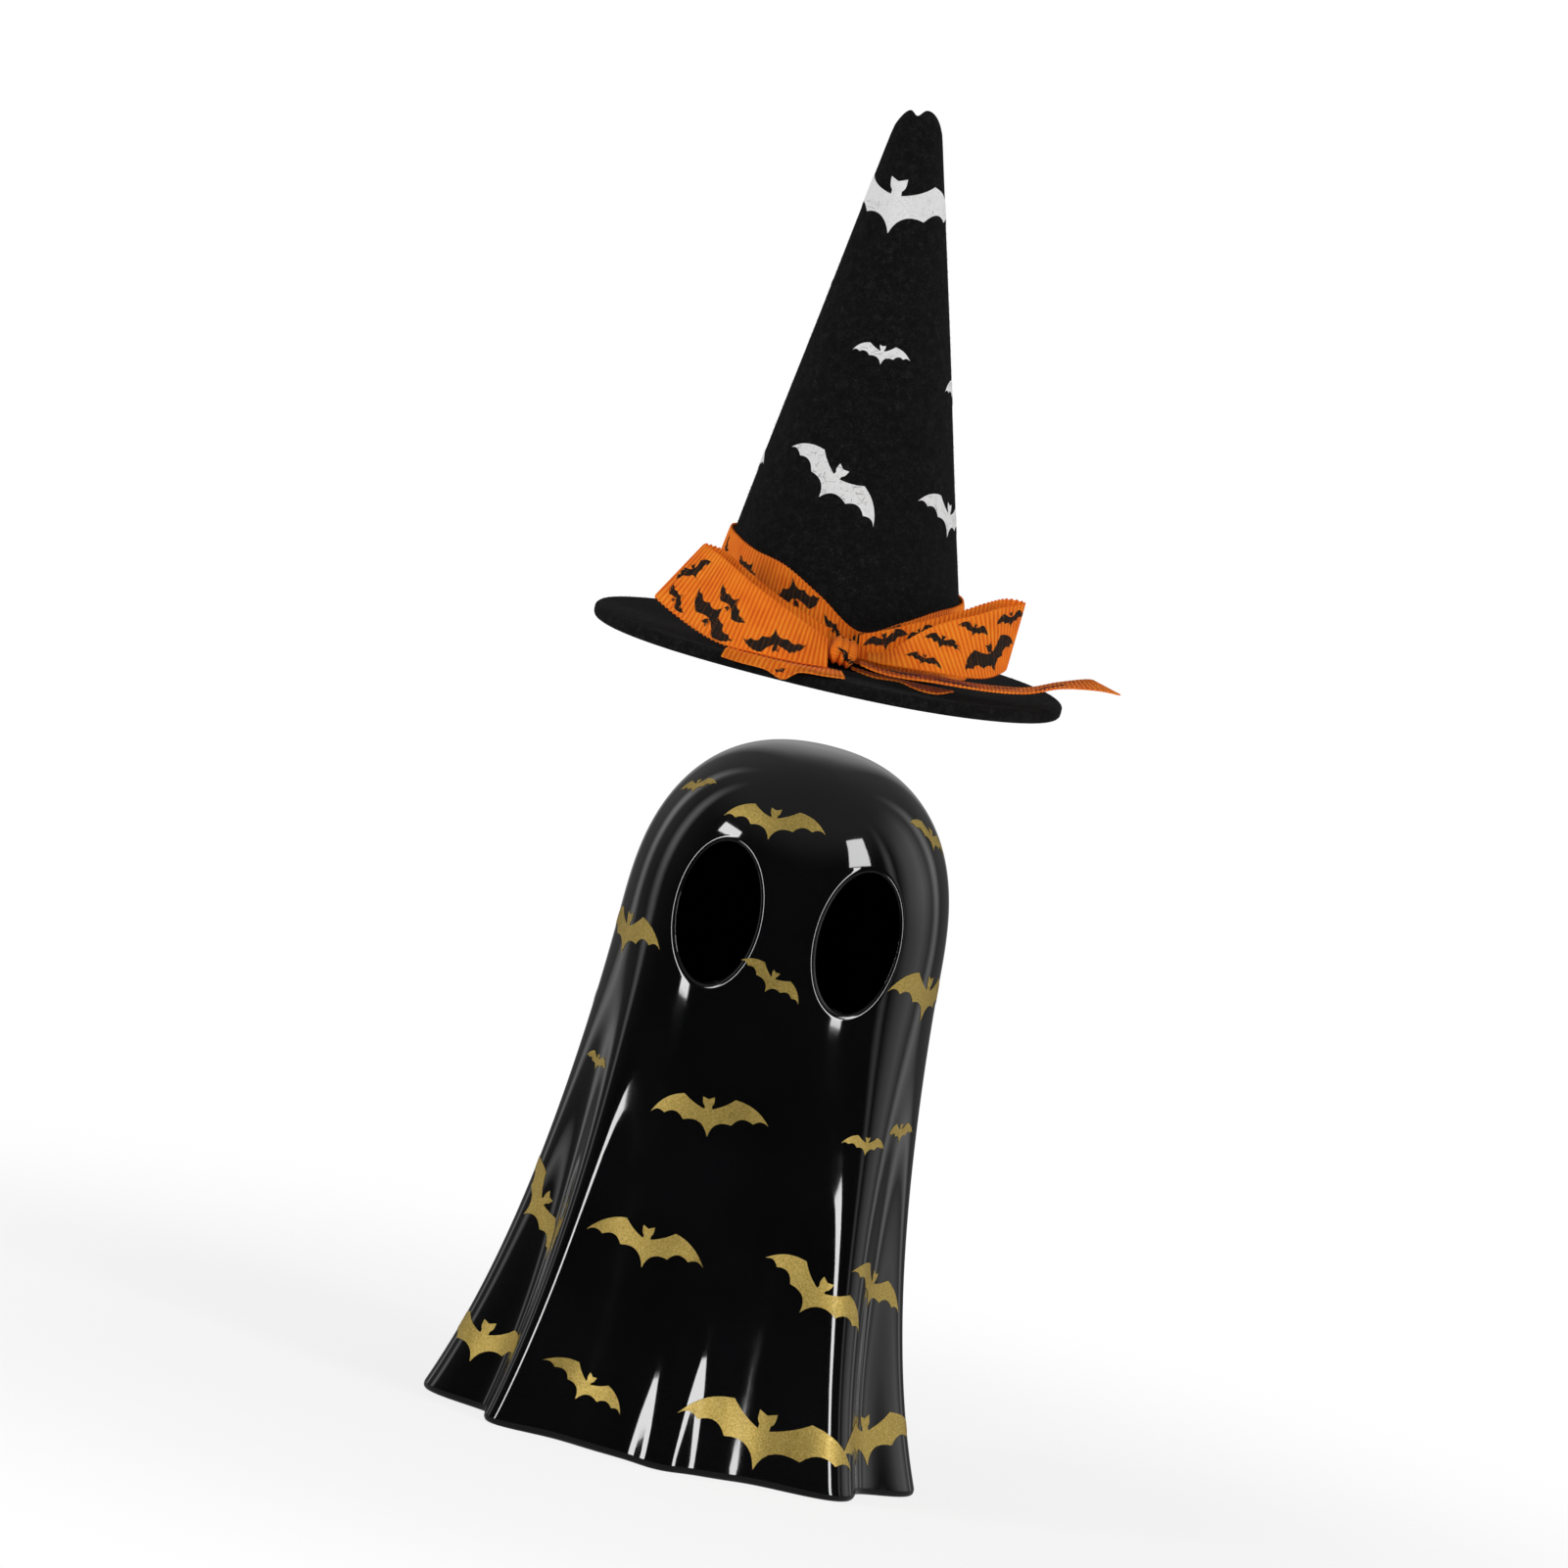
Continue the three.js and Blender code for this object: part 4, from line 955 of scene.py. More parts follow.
LOOP_RIGHT = [
    [[0.393, 0.712, 0.356], [0.42, 0.812, 0.274]],
    [[0.646, 0.613, 0.406], [0.674, 0.8, 0.272]],
    [[0.802, 0.6, 0.543], [0.966, 0.925, 0.3]],
    [[1.013, 0.513, 0.737], [1.306, 0.962, 0.328]],
    [[1.294, 0.363, 0.916], [1.653, 0.863, 0.333]],
    [[1.639, 0.2, 1.065], [1.933, 0.65, 0.354]],
    [[1.984, -0.05, 1.225], [2.121, 0.337, 0.418]],
    [[2.279, -0.387, 1.321], [2.202, -0.1, 0.469]],
    [[2.071, -0.413, 1.324], [2.046, -0.212, 0.44]],
    [[1.796, -0.188, 1.234], [1.798, 0.025, 0.373]],
    [[1.476, 0.025, 1.072], [1.518, 0.275, 0.347]],
    [[1.154, 0.2, 0.924], [1.214, 0.45, 0.327]],
    [[0.792, 0.288, 0.753], [0.847, 0.5, 0.288]],
    [[0.473, 0.312, 0.604], [0.542, 0.488, 0.246]],
    [[0.266, 0.312, 0.52], [0.301, 0.462, 0.232]],
]
TAIL_RIGHT = [
    [[0.326, 0.4, 0.207], [0.338, 0.7, 0.186]],
    [[0.602, 0.275, 0.156], [0.616, 0.837, 0.151]],
    [[0.904, 0.187, 0.157], [0.903, 0.937, 0.16]],
    [[1.251, 0.113, 0.184], [1.237, 0.988, 0.193]],
    [[1.772, -0.075, 0.181], [1.774, 0.863, 0.21]],
    [[2.166, -0.325, 0.189], [2.169, 0.638, 0.221]],
    [[2.558, -0.575, 0.23], [2.558, 0.4, 0.268]],
    [[2.947, -0.775, 0.366], [2.956, 0.2, 0.396]],
    [[3.315, -0.925, 0.47], [3.454, 0.025, 0.46]],
    [[3.386, -0.95, 0.474], [3.731, -0.075, 0.454]],
]
TAIL_LEFT = [
    [[3.2, -0.712, 0.038], [3.2, -0.144, 0.044], [3.2, -0.045, 0.031]],
    [[-1.9, -0.712, 0.038], [-1.9, -0.016, 0.044], [-1.9, 0.039, 0.016]],
    [[-7.7, -0.712, 0.038], [-7.7, -0.016, 0.044], [-7.7, 0.097, -0.01]],
    [[-10.7, -0.712, 0.038], [-10.7, -0.016, 0.044], [-10.7, 0.157, -0.135]],
    [[-15.3, -0.712, 0.038], [-15.3, -0.016, 0.044], [-15.3, 0.127, -0.069]],
    [[-21.8, -0.712, 0.038], [-21.8, -0.016, 0.044], [-21.8, 0.072, -0.072]],
    [[-26.8, -0.519, 0.038], [-26.8, -0.016, 0.044], [-26.8, 0.067, -0.061]],
]
TAIL_SHORT = [
    [[6.6, -0.998, 0.094], [6, -0.775, 0.094]],
    [[14.9, -1.017, 0.062], [12.8, -0.626, 0.062]],
    [[23.8, -0.995, 0.05], [19.4, -0.462, 0.085]],
    [[29.5, -0.914, 0.044], [23.4, -0.32, 0.045]],
    [[35.2, -0.803, 0.044], [27.6, -0.191, 0.041]],
    [[39.1, -0.617, 0.056], [34.2, -0.271, 0.097]],
]


BAND_GAP = 0.6  # between the felt and the band
BAND_START = 10  # degrees from the front


def bow_point(across, out, up):
    return HAT + np.array([
        across * RIBBON_WIDTH,
        -(CONE_RADIUS + out * RIBBON_WIDTH),
        BRIM_TOP + up * RIBBON_WIDTH,
    ])


def rim_point(angle, out, up):
    return around(BRIM_RADIUS + out * RIBBON_WIDTH, angle, BRIM_TOP + up * RIBBON_WIDTH) + HAT


def band_point(angle, up):
    height = up * RIBBON_WIDTH
    share = height / CONE_HEIGHT
    radius = plain_radius(share) + BAND_GAP + RIBBON_THICKNESS / 2
    point = around(radius, angle, CONE_FOOT + height)
    point[..., 0] += cone_axis(share)
    return point + HAT


def laid(stations, place):
    return [[place(*p) for p in row] for row in stations]


def band_stations():
    rows = []
    for i, (high, low) in enumerate(BAND_EDGES):
        angle = BAND_START - 360 * i / len(BAND_EDGES)
        rows.append([band_point(angle, high), band_point(angle, low)])
    return rows


KNOT_MIDDLE = np.array([1.6, -35.6, 5.9])
KNOT_HALF = np.array([3.1, 6.6, 3.3])
KNOT_GIRTH = 30  # of ribbon round the knot
KNOT_TILT = math.radians(-9)
KNOT_INSET = 0.2  # of its face between the ribs, within KNOT_HALF


def knot_point(across, turn, above=0):
    """A point on the knot: across from -1 to 1, and degrees round it from its front."""
    end = np.clip(1 - np.abs(across) ** 5, 0, 1) ** 0.5
    waist = 0.86 + 0.14 * np.abs(across) ** 2
    pleat = 0.07 * np.cos(2 * math.pi * (across * 1.9 + 0.15 * np.sin(np.radians(turn))))
    a = np.radians(turn)
    ribs = RIB_HEIGHT * np.abs(np.sin(math.pi * turn * KNOT_GIRTH / 360))
    grow = end * waist * (1 + pleat) * 0.97

    def out(wave, half):
        """The wave flattened towards a rounded box, grown to the knot's half size."""
        return np.sign(wave) * np.abs(wave) ** 0.85 * (half * grow - KNOT_INSET + ribs * end + above)

    x = KNOT_HALF[0] * across * (1 - 0.1 * np.abs(np.sin(a)))
    y = -out(np.cos(a), KNOT_HALF[1])
    z = out(np.sin(a), KNOT_HALF[2])
    c, s = math.cos(KNOT_TILT), math.sin(KNOT_TILT)
    return HAT + KNOT_MIDDLE + np.stack(np.broadcast_arrays(x * c - z * s, y, x * s + z * c), axis=-1)


def make_knot(material):
    turns = np.arange(0, 360, 2)
    across = np.linspace(-1, 1, 41) * 0.985
    points, faces = [], []
    for s in across:
        points.extend(knot_point(np.full(len(turns), s), turns))
    count = len(turns)
    for i in range(len(across) - 1):
        faces.extend(ring_quad(i, i + 1, j, count) for j in range(count))
    for row, flip in ((0, False), (len(across) - 1, True)):
        ring = [row * count + j for j in range(count)]
        points.append(np.mean([points[i] for i in ring], axis=0))
        top = len(points) - 1
        for a, b in zip(ring, ring[1:] + ring[:1]):
            faces.append((top, b, a) if flip else (top, a, b))
    knot = add_mesh("knot_wrap", points, faces, [material], smooth_angle=60)
    lengths = np.tile(turns / 360 * KNOT_GIRTH, len(across))
    widths = np.repeat((across + 1) / 2 * RIBBON_WIDTH, count)
    flat = np.stack([lengths, widths], axis=-1)
    set_uv(knot, np.vstack([flat, [[0, 0], [0, RIBBON_WIDTH]]]))
    ride_hat(knot)
    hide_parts("bow_knot")


# Bats on the ribbons: length along, share across from the upper edge, width, tilt, outer side
BAND_BATS = [
    (41.2, 0.27, 7.3, 122, 1),
    (29.2, 0.25, 10.0, 159, 1),
    (16.5, 0.23, 13.8, -153, 1),
    (5.7, 0.31, 6.2, 164, 1),
    (167.3, 0.34, 12.9, 11, 1),
    (156.5, 0.24, 7.1, 12, 1),
    (52, 0.66, 10.1, 150, 1),
    (64, 0.3, 6.7, 175, 1),
    (75, 0.6, 12.3, -160, 1),
    (88, 0.3, 8.4, 168, 1),
    (99, 0.65, 9.5, -175, 1),
    (111, 0.34, 12.3, 20, 1),
    (123, 0.66, 7.8, -12, 1),
    (134, 0.32, 10.1, 8, 1),
    (146, 0.62, 11.2, -20, 1),
]
LOOP_LEFT_BATS = [
    (35.6, 0.39, 9.0, 57, 1),
    (35.0, 0.79, 7.0, 149, 1),
    (25.8, 0.69, 14.1, 155, 1),
    (22.9, 0.41, 10.2, 153, 1),
    (11.5, 0.64, 13.4, -163, 1),
    (46, 0.45, 11.2, 20, 1),
    (58, 0.6, 9.0, -15, 1),
    (67, 0.4, 7.3, 10, 1),
]
LOOP_RIGHT_BATS = [
    (16.3, 0.35, 8.4, -38, -1),
    (11.1, 0.70, 7.6, -34, -1),
    (24.0, 0.24, 7.4, -30, -1),
    (28.1, 0.76, 17.4, 14, -1),
    (33.8, 0.23, 8.5, 5, -1),
    (45, 0.5, 11.2, -10, -1),
    (57, 0.35, 9.0, 15, -1),
    (65, 0.65, 6.7, -20, -1),
    (69.0, 0.4, 9.5, 9, 1),
    (61.9, 0.3, 6.0, 20, 1),
]
TAIL_LEFT_BATS = [(12.2, 0.78, 4.0, 64, 1)]
TAIL_RIGHT_BATS = [
    (9, 0.4, 9.0, -20, -1),
    (21, 0.62, 11.2, 160, -1),
    (33, 0.35, 7.8, 15, -1),
    (43, 0.62, 9.0, -150, -1),
]
KNOT_INK_LIFT = 0.02
KNOT_BAT = (0.34, -14, 8.0, -40)  # share across, degrees round, width and tilt


def make_knot_bat(ink):
    across, turn, width, tilt = KNOT_BAT

    def place(uv, above):
        shares = np.clip(across + uv[:, 0] / KNOT_HALF[0], -0.96, 0.96)
        return knot_point(shares, turn + uv[:, 1] * 360 / KNOT_GIRTH, KNOT_INK_LIFT + above)

    leaves = [(bat_outline(width, tilt), place)]
    bat = make_prints("bat_knot", leaves, ink, spacing=0.3, thickness=INK_THICKNESS)
    ride_hat(bat)


# Materials
class Graph:
    """A node tree whose nodes are made and joined in one call each."""

    def __init__(self, tree):
        self.tree = tree

    def give(self, socket, value):
        """Sets a socket's own value, or links another node's output to it."""
        if isinstance(value, bpy.types.NodeSocket):
            self.tree.links.new(value, socket)
        else:
            socket.default_value = value

    def add(self, kind, inputs, output, **settings):
        """A new node's output, after its inputs and settings are set."""
        node = self.tree.nodes.new(kind)
        for key, value in settings.items():
            setattr(node, key, value)
        for key, value in inputs.items():
            self.give(node.inputs[key], value)
        return node.outputs[output]

    def sum(self, a, b, operation="ADD"):
        return self.add("ShaderNodeMath", {0: a, 1: b}, "Value", operation=operation)

    def blend(self, *parts):
        """The sum of (value, weight)."""
        scaled = [self.sum(value, weight, "MULTIPLY") for value, weight in parts]
        total = scaled[0]
        for part in scaled[1:]:
            total = self.sum(total, part)
        return total

    def scale(self, value, low, high, from_low, from_high, curve="LINEAR"):
        ends = {"From Min": from_low, "From Max": from_high, "To Min": low, "To Max": high}
        return self.add("ShaderNodeMapRange", {"Value": value, **ends}, "Result", interpolation_type=curve)

    def ramp(self, value, stops):
        """A colour along a ramp of (place, red, green, blue)."""
        colour = self.add("ShaderNodeValToRGB", {"Fac": value}, "Color")
        ramp = colour.node.color_ramp
        while len(ramp.elements) < len(stops):
            ramp.elements.new(0.5)
        for element, (at, *rgb) in zip(ramp.elements, stops):
            element.position = at
            element.color = (*rgb, 1)
        return colour

    def white(self, kind, strength):
        """White light of an emission or a background."""
        return self.add(kind, {"Color": (1, 1, 1, 1), "Strength": strength}, 0)

    def mix(self, share, first, second):
        return self.add("ShaderNodeMixShader", {0: share, 1: first, 2: second}, "Shader")

    def seen_by(self, *kinds):
        """1 for the kinds of ray named, as on the Light Path node."""
        rays = [self.add("ShaderNodeLightPath", {}, kind) for kind in kinds]
        last = rays[0]
        for ray in rays[1:]:
            last = self.sum(last, ray, "MAXIMUM")
        return last


class Paint(Graph):
    """A node material on the Principled shader, with textures laid in millimetres."""

    def __init__(self, name, **fixed):
        self.material = bpy.data.materials.new(name)
        self.material.use_nodes = True
        super().__init__(self.material.node_tree)
        self.bsdf = self.tree.nodes["Principled BSDF"]
        for key, value in fixed.items():
            colour = isinstance(value, tuple)
            self.give(self.bsdf.inputs[key.replace("_", " ")], (*value, 1) if colour else value)

    def place(self, source, stretch):
        """A source of texture coordinates, stretched along x, y and z."""
        vector = self.add("ShaderNodeTexCoord", {}, source)
        return self.add("ShaderNodeMapping", {"Vector": vector, "Scale": stretch}, "Vector")

    def noise(self, size, detail=3, rough=0.5, stretch=(1, 1, 1), warp=0):
        """Noise from 0 to 1 with features about size millimetres across."""
        vector = self.place("Object", [v / MM for v in stretch])
        inputs = {"Scale": 1 / size, "Detail": detail, "Roughness": rough, "Distortion": warp}
        return self.add("ShaderNodeTexNoise", {"Vector": vector, **inputs}, "Fac")

    def wave(self, pitch, axis, warp=0):
        """Bands pitch millimetres apart in the piece's own map."""
        scale = 2 * math.pi / 20 / pitch
        inputs = {"Vector": self.place("UV", (1, 1, 1)), "Scale": scale, "Distortion": warp}
        return self.add("ShaderNodeTexWave", inputs, "Fac", bands_direction=axis)

    def colour(self, value, *stops):
        self.give(self.bsdf.inputs["Base Color"], self.ramp(value, stops))

    def rough(self, value, low, high):
        self.give(self.bsdf.inputs["Roughness"], self.scale(value, low, high, 0.3, 0.7))

    def bump(self, *layers):
        """Stacks bumps of (value, height in millimetres)."""
        below = {}
        for value, height in layers:
            inputs = {"Strength": 1, "Distance": height * MM, "Height": value, **below}
            below = {"Normal": self.add("ShaderNodeBump", inputs, "Normal")}
        self.give(self.bsdf.inputs["Normal"], below["Normal"])


def glaze_paint():
    p = Paint("black_glaze", Specular_IOR_Level=0.5, IOR=1.52, Coat_Weight=1.0, Coat_Roughness=0.03)
    slow = p.noise(16, 2)
    p.colour(p.noise(30, 3), (0.35, 0.0016, 0.0016, 0.0019), (0.7, 0.0030, 0.0030, 0.0036))
    p.rough(p.noise(9, 3), 0.035, 0.075)
    p.bump((slow, 0.09), (p.noise(1.6, 2), 0.0022))
    return p.material


def clay_paint():
    p = Paint("bare_clay", Specular_IOR_Level=0.2)
    grain = p.noise(0.5, 4, 0.7)
    p.colour(grain, (0.3, 0.42, 0.36, 0.29), (0.6, 0.66, 0.6, 0.51), (0.75, 0.72, 0.67, 0.58))
    p.rough(grain, 0.85, 0.98)
    p.bump((grain, 0.08), (p.noise(3, 2), 0.1))
    return p.material


def gold_paint():
    p = Paint("gold_transfer", Metallic=0.76, IOR=1.5, Coat_Weight=0.15, Coat_Roughness=0.15)
    grain = p.noise(0.35, 3, 0.7)
    p.colour(grain, (0.3, 0.46, 0.32, 0.07), (0.5, 0.74, 0.53, 0.13), (0.72, 0.95, 0.74, 0.28))
    p.rough(p.noise(1.2, 3), 0.4, 0.56)
    p.bump((grain, 0.02), (p.noise(4, 2), 0.03))
    return p.material


def felt_paint():
    sheen = {"Sheen_Weight": 0.03, "Sheen_Roughness": 0.45, "Sheen_Tint": (0.6, 0.6, 0.62)}
    p = Paint("black_felt", Specular_IOR_Level=0.15, **sheen)
    fine = p.noise(0.32, 4, 0.75, warp=1.4)
    mat = p.noise(1.5, 4, 0.65, warp=0.8)
    darks = (0.36, 0.0018, 0.0018, 0.002), (0.52, 0.0058, 0.0058, 0.0061)
    p.colour(p.blend((fine, 0.65), (mat, 0.35)), *darks, (0.66, 0.031, 0.031, 0.032))
    p.rough(mat, 0.88, 1.0)
    p.bump((mat, 0.3), (fine, 0.16), (p.noise(6, 2), 0.35))
    return p.material


def fibre_paint():
    p = Paint("felt_fibre", Specular_IOR_Level=0.2, Roughness=0.85)
    p.colour(p.noise(3, 2), (0.35, 0.006, 0.006, 0.0065), (0.7, 0.026, 0.026, 0.028))
    return p.material


def white_paint():
    p = Paint("white_print", Specular_IOR_Level=0.2)
    fine = p.noise(0.4, 4, 0.75, warp=1.2)
    p.colour(fine, (0.28, 0.42, 0.42, 0.43), (0.42, 0.86, 0.86, 0.86), (0.6, 0.96, 0.96, 0.96))
    p.rough(fine, 0.75, 0.95)
    p.bump((p.noise(1.5, 4, 0.65, warp=0.8), 0.22), (fine, 0.12))
    return p.material


def ribbon_paint():
    sheen = {"Sheen_Weight": 0.06, "Sheen_Roughness": 0.35, "Sheen_Tint": (1, 0.5, 0.1)}
    p = Paint("orange_ribbon", Specular_IOR_Level=0.2, **sheen)
    # bands in step with the ribs that make the crests lighter and the grooves darker: painted highlight
    # and painted shade
    rib = p.wave(RIB_PITCH, "X")
    twist = p.wave(0.34, "Y", warp=0.7)
    tone = p.noise(5, 3)
    value = p.blend((rib, 0.3), (twist, 0.22), (tone, 0.48))
    p.colour(value, (0.2, 0.66, 0.075, 0.002), (0.5, 1.0, 0.205, 0.007), (0.8, 1.0, 0.36, 0.03))
    p.rough(tone, 0.5, 0.66)
    p.bump((twist, 0.05), (p.noise(0.25, 3), 0.02))
    return p.material


def ink_paint():
    p = Paint("black_print", Specular_IOR_Level=0.25)
    grain = p.noise(0.4, 3)
    p.colour(grain, (0.35, 0.006, 0.004, 0.003), (0.7, 0.022, 0.014, 0.010))
    p.rough(grain, 0.6, 0.8)
    p.bump((grain, 0.02))
    return p.material


def plastic_paint(name, dark, light, rough, grain=0.3, height=0.012, milky=0, depth=0.001):
    p = Paint(name, Subsurface_Weight=milky, Subsurface_Scale=depth)
    p.colour(p.noise(6, 3), (0.35, *dark), (0.65, *light))
    p.rough(p.noise(2, 3), rough - 0.06, rough + 0.06)
    p.bump((p.noise(grain, 3, 0.6), height), (p.noise(8, 2), 0.03))
    return p.material


def metal_paint(name, dark, light, rough, stretch=(1, 1, 12)):
    p = Paint(name, Metallic=1.0)
    p.colour(p.noise(2.5, 4, 0.6), (0.3, *dark), (0.7, *light))
    brushed = p.noise(0.5, 3, 0.6, stretch=stretch)
    p.rough(brushed, rough - 0.08, rough + 0.1)
    p.bump((brushed, 0.006))
    return p.material


# Name, dark and light colour, roughness, the grain's size and height, how milky and how deep (metres)
PLASTICS = [
    ("silicone", (0.60, 0.60, 0.57), (0.72, 0.72, 0.69), 0.55, 0.3, 0.012, 0.3, 0.002),
    ("white_plastic", (0.74, 0.73, 0.69), (0.80, 0.79, 0.75), 0.45, 0.35, 0.02),
    ("frosted_plastic", (0.76, 0.74, 0.66), (0.84, 0.82, 0.74), 0.6, 0.2, 0.02, 0.5, 0.003),
    ("board_green", (0.012, 0.10, 0.035), (0.02, 0.15, 0.055), 0.35, 0.5, 0.006),
    ("lamp_clear", (0.80, 0.76, 0.60), (0.86, 0.82, 0.68), 0.12, 0.6, 0.002, 0.4, 0.003),
    ("resistor_tan", (0.50, 0.36, 0.19), (0.60, 0.44, 0.25), 0.35),
    ("lead_red", (0.40, 0.014, 0.014), (0.52, 0.022, 0.02), 0.45),
    ("lead_black", (0.012, 0.012, 0.012), (0.022, 0.022, 0.022), 0.45),
    ("black_plastic", (0.014, 0.014, 0.016), (0.024, 0.024, 0.026), 0.4),
]
METALS = [  # name, dark and light colour, roughness, how the brushing is stretched
    ("cell_steel", (0.52, 0.52, 0.53), (0.66, 0.66, 0.67), 0.28),
    ("contact_brass", (0.50, 0.36, 0.14), (0.66, 0.50, 0.22), 0.3, (1, 12, 1)),
    ("screw_steel", (0.42, 0.42, 0.44), (0.56, 0.56, 0.58), 0.34),
]
CONTACTS = ["contact_bridge_upper", "contact_positive", "contact_bridge_lower", "contact_terminal_lower"]
SHOWN_FROM_CAD = {
    "silicone": ["retaining_ring"],
    "white_plastic": ["light_housing", "battery_deck", "battery_door"],
    "frosted_plastic": ["diffuser_dome"],
    "board_green": ["circuit_board"],
    "lamp_clear": ["led_lamp"],
    "resistor_tan": ["resistor"],
    "lead_red": ["switch_lead_1"],
    "lead_black": ["switch_lead_2"],
    "black_plastic": ["switch_slider"],
    "cell_steel": ["cell_1", "cell_2", "cell_3"],
    "contact_brass": [*CONTACTS, "terminal_pin", "positive_pin"],
    "screw_steel": ["deck_screw_1", "deck_screw_2", "switch_frame"],
}


def dress_cad():
    paints = {name: plastic_paint(name, *row) for name, *row in PLASTICS}
    paints |= {name: metal_paint(name, *row) for name, *row in METALS}
    for name, shown in SHOWN_FROM_CAD.items():
        for node in shown:
            mesh = nodes[node].data
            mesh.materials.clear()
            mesh.materials.append(paints[name])


# Studio
FLOOR_RADIUS = 340
FLOOR_HEIGHT = -0.03  # just below the foot
FLOOR_GREY = 0.86
FLOOR_FADE = 320  # from here out the floor runs into the white ground
SHADOW_SHARE = 0.2  # of the floor that the camera sees as lit by the lamps
FLOOR_IN_GLOSS = 0.12  # how bright the glaze shows the floor in front of it
FLOOR_FILL = 0.25  # its own light on what faces it, so that the base can be seen from below


def make_floor():
    angles = np.arange(0, 360, 5)
    points = [(0, 0, FLOOR_HEIGHT), *around(FLOOR_RADIUS, angles, FLOOR_HEIGHT)]
    count = len(angles)
    faces = [(0, 1 + j, 1 + (j + 1) % count) for j in range(count)]
    paint = bpy.data.materials.new("floor")
    paint.use_nodes = True
    tree = paint.node_tree
    tree.nodes.remove(tree.nodes["Principled BSDF"])
    g = Graph(tree)
    diffuse = g.add("ShaderNodeBsdfDiffuse", {"Color": (FLOOR_GREY, FLOOR_GREY, FLOOR_GREY, 1)}, "BSDF")
    fill = g.white("ShaderNodeEmission", g.sum(g.seen_by("Is Diffuse Ray"), FLOOR_FILL, "MULTIPLY"))
    lit = g.add("ShaderNodeAddShader", {0: diffuse, 1: fill}, "Shader")
    dim = g.white("ShaderNodeEmission", FLOOR_IN_GLOSS)
    lit = g.mix(g.seen_by("Is Glossy Ray"), lit, dim)
    middle = g.add("ShaderNodeTexCoord", {}, "Object")
    away = g.add("ShaderNodeVectorMath", {0: middle}, "Value", operation="LENGTH")
    fade = g.scale(away, 1 - SHADOW_SHARE, 1, FLOOR_FADE * MM / 3, FLOOR_FADE * MM, "SMOOTHSTEP")
    share = g.sum(g.seen_by("Is Camera Ray", "Is Transmission Ray"), fade, "MULTIPLY")
    lit = g.mix(share, lit, g.white("ShaderNodeEmission", 1))
    clear = g.add("ShaderNodeBsdfTransparent", {}, "BSDF")
    below = g.add("ShaderNodeNewGeometry", {}, "Backfacing")
    g.give(tree.nodes["Material Output"].inputs["Surface"], g.mix(below, lit, clear))
    add_mesh("floor", points, faces, [paint], smooth_angle=0)


ROOM_FILL = 0.2  # the room's light on the object
ROOM_IN_GLOSS = [  # how bright gloss shows the room: degrees from the front, brightness
    (-180, 0.4),
    (-172, 0.35),
    (-163, 0.1),
    (-142, 0.12),
    (-135, 0.7),
    (-129, 0.1),
    (-117, 0.08),
    (-110, 0.75),
    (-104, 0.05),
    (-80, 0.02),
    (74, 0.02),
    (79, 0.5),
    (84, 0.02),
    (96, 0.4),
    (112, 0.55),
    (125, 0.16),
    (132, 0.6),
    (139, 0.1),
    (163, 0.1),
    (172, 0.35),
    (180, 0.4),
]
ROOM_TOP = 0.14  # and overhead
ROOM_LOW = 0.65  # share of the walls' brightness that is left below the object
LOW_BLEND, TOP_BLEND = (-0.05, 0.25), (0.45, 0.85)  # rise of the ray over which each gives way


def make_world():
    """White for the camera. Gloss shows a pale backdrop behind the object and a dark room before it."""
    world = bpy.data.worlds.new("studio")
    bpy.context.scene.world = world
    world.use_nodes = True
    tree = world.node_tree
    tree.nodes.remove(tree.nodes["Background"])
    g = Graph(tree)
    ray = g.add("ShaderNodeTexCoord", {}, "Generated")
    x, y, z = (g.add("ShaderNodeSeparateXYZ", {"Vector": ray}, axis) for axis in "XYZ")
    side = g.sum(x, g.sum(y, -1, "MULTIPLY"), "ARCTAN2")
    place = g.sum(g.sum(side, 2 * math.pi, "DIVIDE"), 0.5)
    stops = [(degrees / 360 + 0.5, bright, bright, bright) for degrees, bright in ROOM_IN_GLOSS]
    low = g.scale(z, ROOM_LOW, 1, *LOW_BLEND, "SMOOTHSTEP")
    walls = g.sum(g.ramp(place, stops), low, "MULTIPLY")
    room = g.white("ShaderNodeBackground", g.scale(z, walls, ROOM_TOP, *TOP_BLEND, "SMOOTHSTEP"))
    glossy = g.mix(g.seen_by("Is Glossy Ray"), g.white("ShaderNodeBackground", ROOM_FILL), room)
    ground = g.white("ShaderNodeBackground", 1)
    seen = g.mix(g.seen_by("Is Camera Ray", "Is Transmission Ray"), glossy, ground)
    g.give(tree.nodes["World Output"].inputs["Surface"], seen)


LIGHT_DISTANCE, OVERHEAD_DISTANCE = 1200, 120  # from the figure's upright axis


def make_light(name, side, middle, width, height, radiance, in_gloss=False, overhead=False):
    """A soft box by its degrees from the front, its middle's height, its size and brightness."""
    a = math.radians(side)
    distance = OVERHEAD_DISTANCE if overhead else LIGHT_DISTANCE
    data = bpy.data.lights.new(name, "AREA")
    data.shape = "RECTANGLE"
    data.size, data.size_y = width * MM, height * MM
    data.energy = radiance * math.pi * width * height * MM * MM
    light = bpy.data.objects.new(name, data)
    light.location = Vector((math.sin(a) * distance, -math.cos(a) * distance, middle)) * MM
    light.rotation_mode = "QUATERNION"
    ahead = Vector((0, 0, -1)) if overhead else Vector((-math.sin(a), math.cos(a), 0))
    light.rotation_quaternion = ahead.to_track_quat("-Z", "Y")
    light.visible_glossy = in_gloss
    bpy.context.scene.collection.objects.link(light)


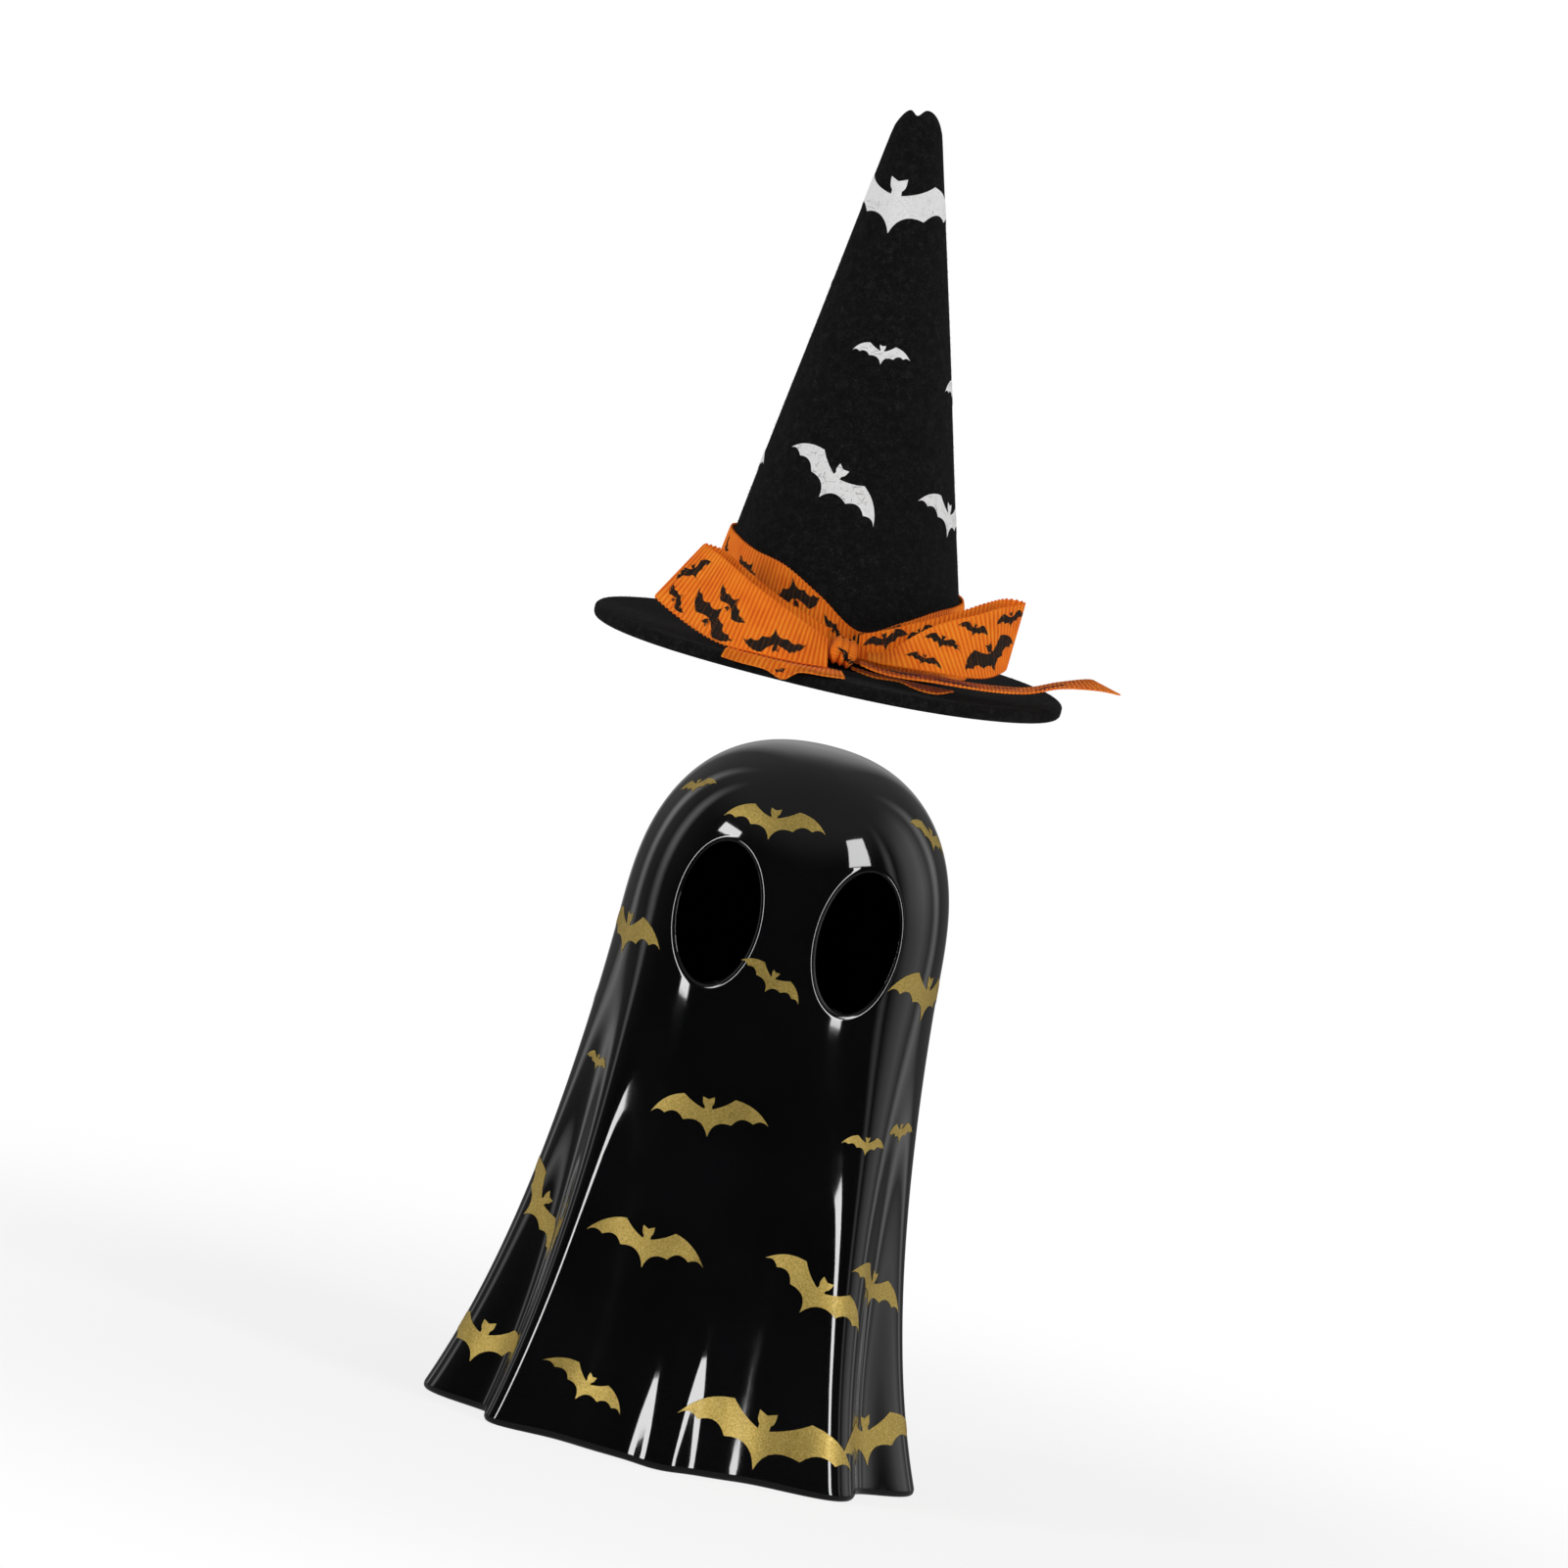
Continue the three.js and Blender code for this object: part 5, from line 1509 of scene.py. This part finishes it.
LIGHTS = [  # name, degrees from the front, middle height, width, height, radiance, seen in gloss, overhead
    ("window_left", -67, 812, 400, 170, 8.0, True),
    ("strip_left", -61, 365, 125, 730, 8.5, True),
    ("fill_left", -54, 440, 290, 900, 4.0),
    ("window_right", 52, 1075, 380, 620, 7.0, True),
    ("strip_right", 49.5, 380, 120, 740, 8.5, True),
    ("fill_right", 47, 695, 330, 1350, 1.8),
    ("side_left", -112, 300, 380, 1000, 1.6),
    ("side_right", 108, 300, 380, 1000, 1.6),
    ("overhead", 0, 1430, 900, 900, 0.8, False, True),
]


make_camera()
scene = bpy.context.scene
scene.view_settings.view_transform = "Standard"
make_world()
make_floor()
for light in LIGHTS:
    make_light(*light)
dress_cad()

make_ghost(glaze_paint(), clay_paint())
make_gold(gold_paint())
felt = felt_paint()
make_cone(felt)
make_brim(felt)
make_fibres(fibre_paint())
make_white(white_paint())

orange, ink = ribbon_paint(), ink_paint()
band = Ribbon(band_stations(), closed=True)
loop_left = Ribbon(laid(LOOP_LEFT, bow_point))
loop_right = Ribbon(laid(LOOP_RIGHT, bow_point))
tail_left = Ribbon(laid(TAIL_LEFT, rim_point))
tail_right = Ribbon(laid(TAIL_RIGHT, bow_point))
tail_short = Ribbon(laid(TAIL_SHORT, rim_point))
make_ribbon("band", band, orange, "ribbon_band")
make_ribbon("loop_left", loop_left, orange, "bow_loop_left")
make_ribbon("loop_right", loop_right, orange, "bow_loop_right")
make_ribbon("tail_left", tail_left, orange, "ribbon_tail_left")
make_ribbon("tail_right", tail_right, orange, "ribbon_tail_right")
make_ribbon("tail_short", tail_short, orange, "ribbon_tail_short")
make_knot(orange)

make_ribbon_bats("bats_band", band, BAND_BATS, ink)
make_ribbon_bats("bats_loop_left", loop_left, LOOP_LEFT_BATS, ink)
make_ribbon_bats("bats_loop_right", loop_right, LOOP_RIGHT_BATS, ink)
make_ribbon_bats("bats_tail_left", tail_left, TAIL_LEFT_BATS, ink)
make_ribbon_bats("bats_tail_right", tail_right, TAIL_RIGHT_BATS, ink)
make_knot_bat(ink)
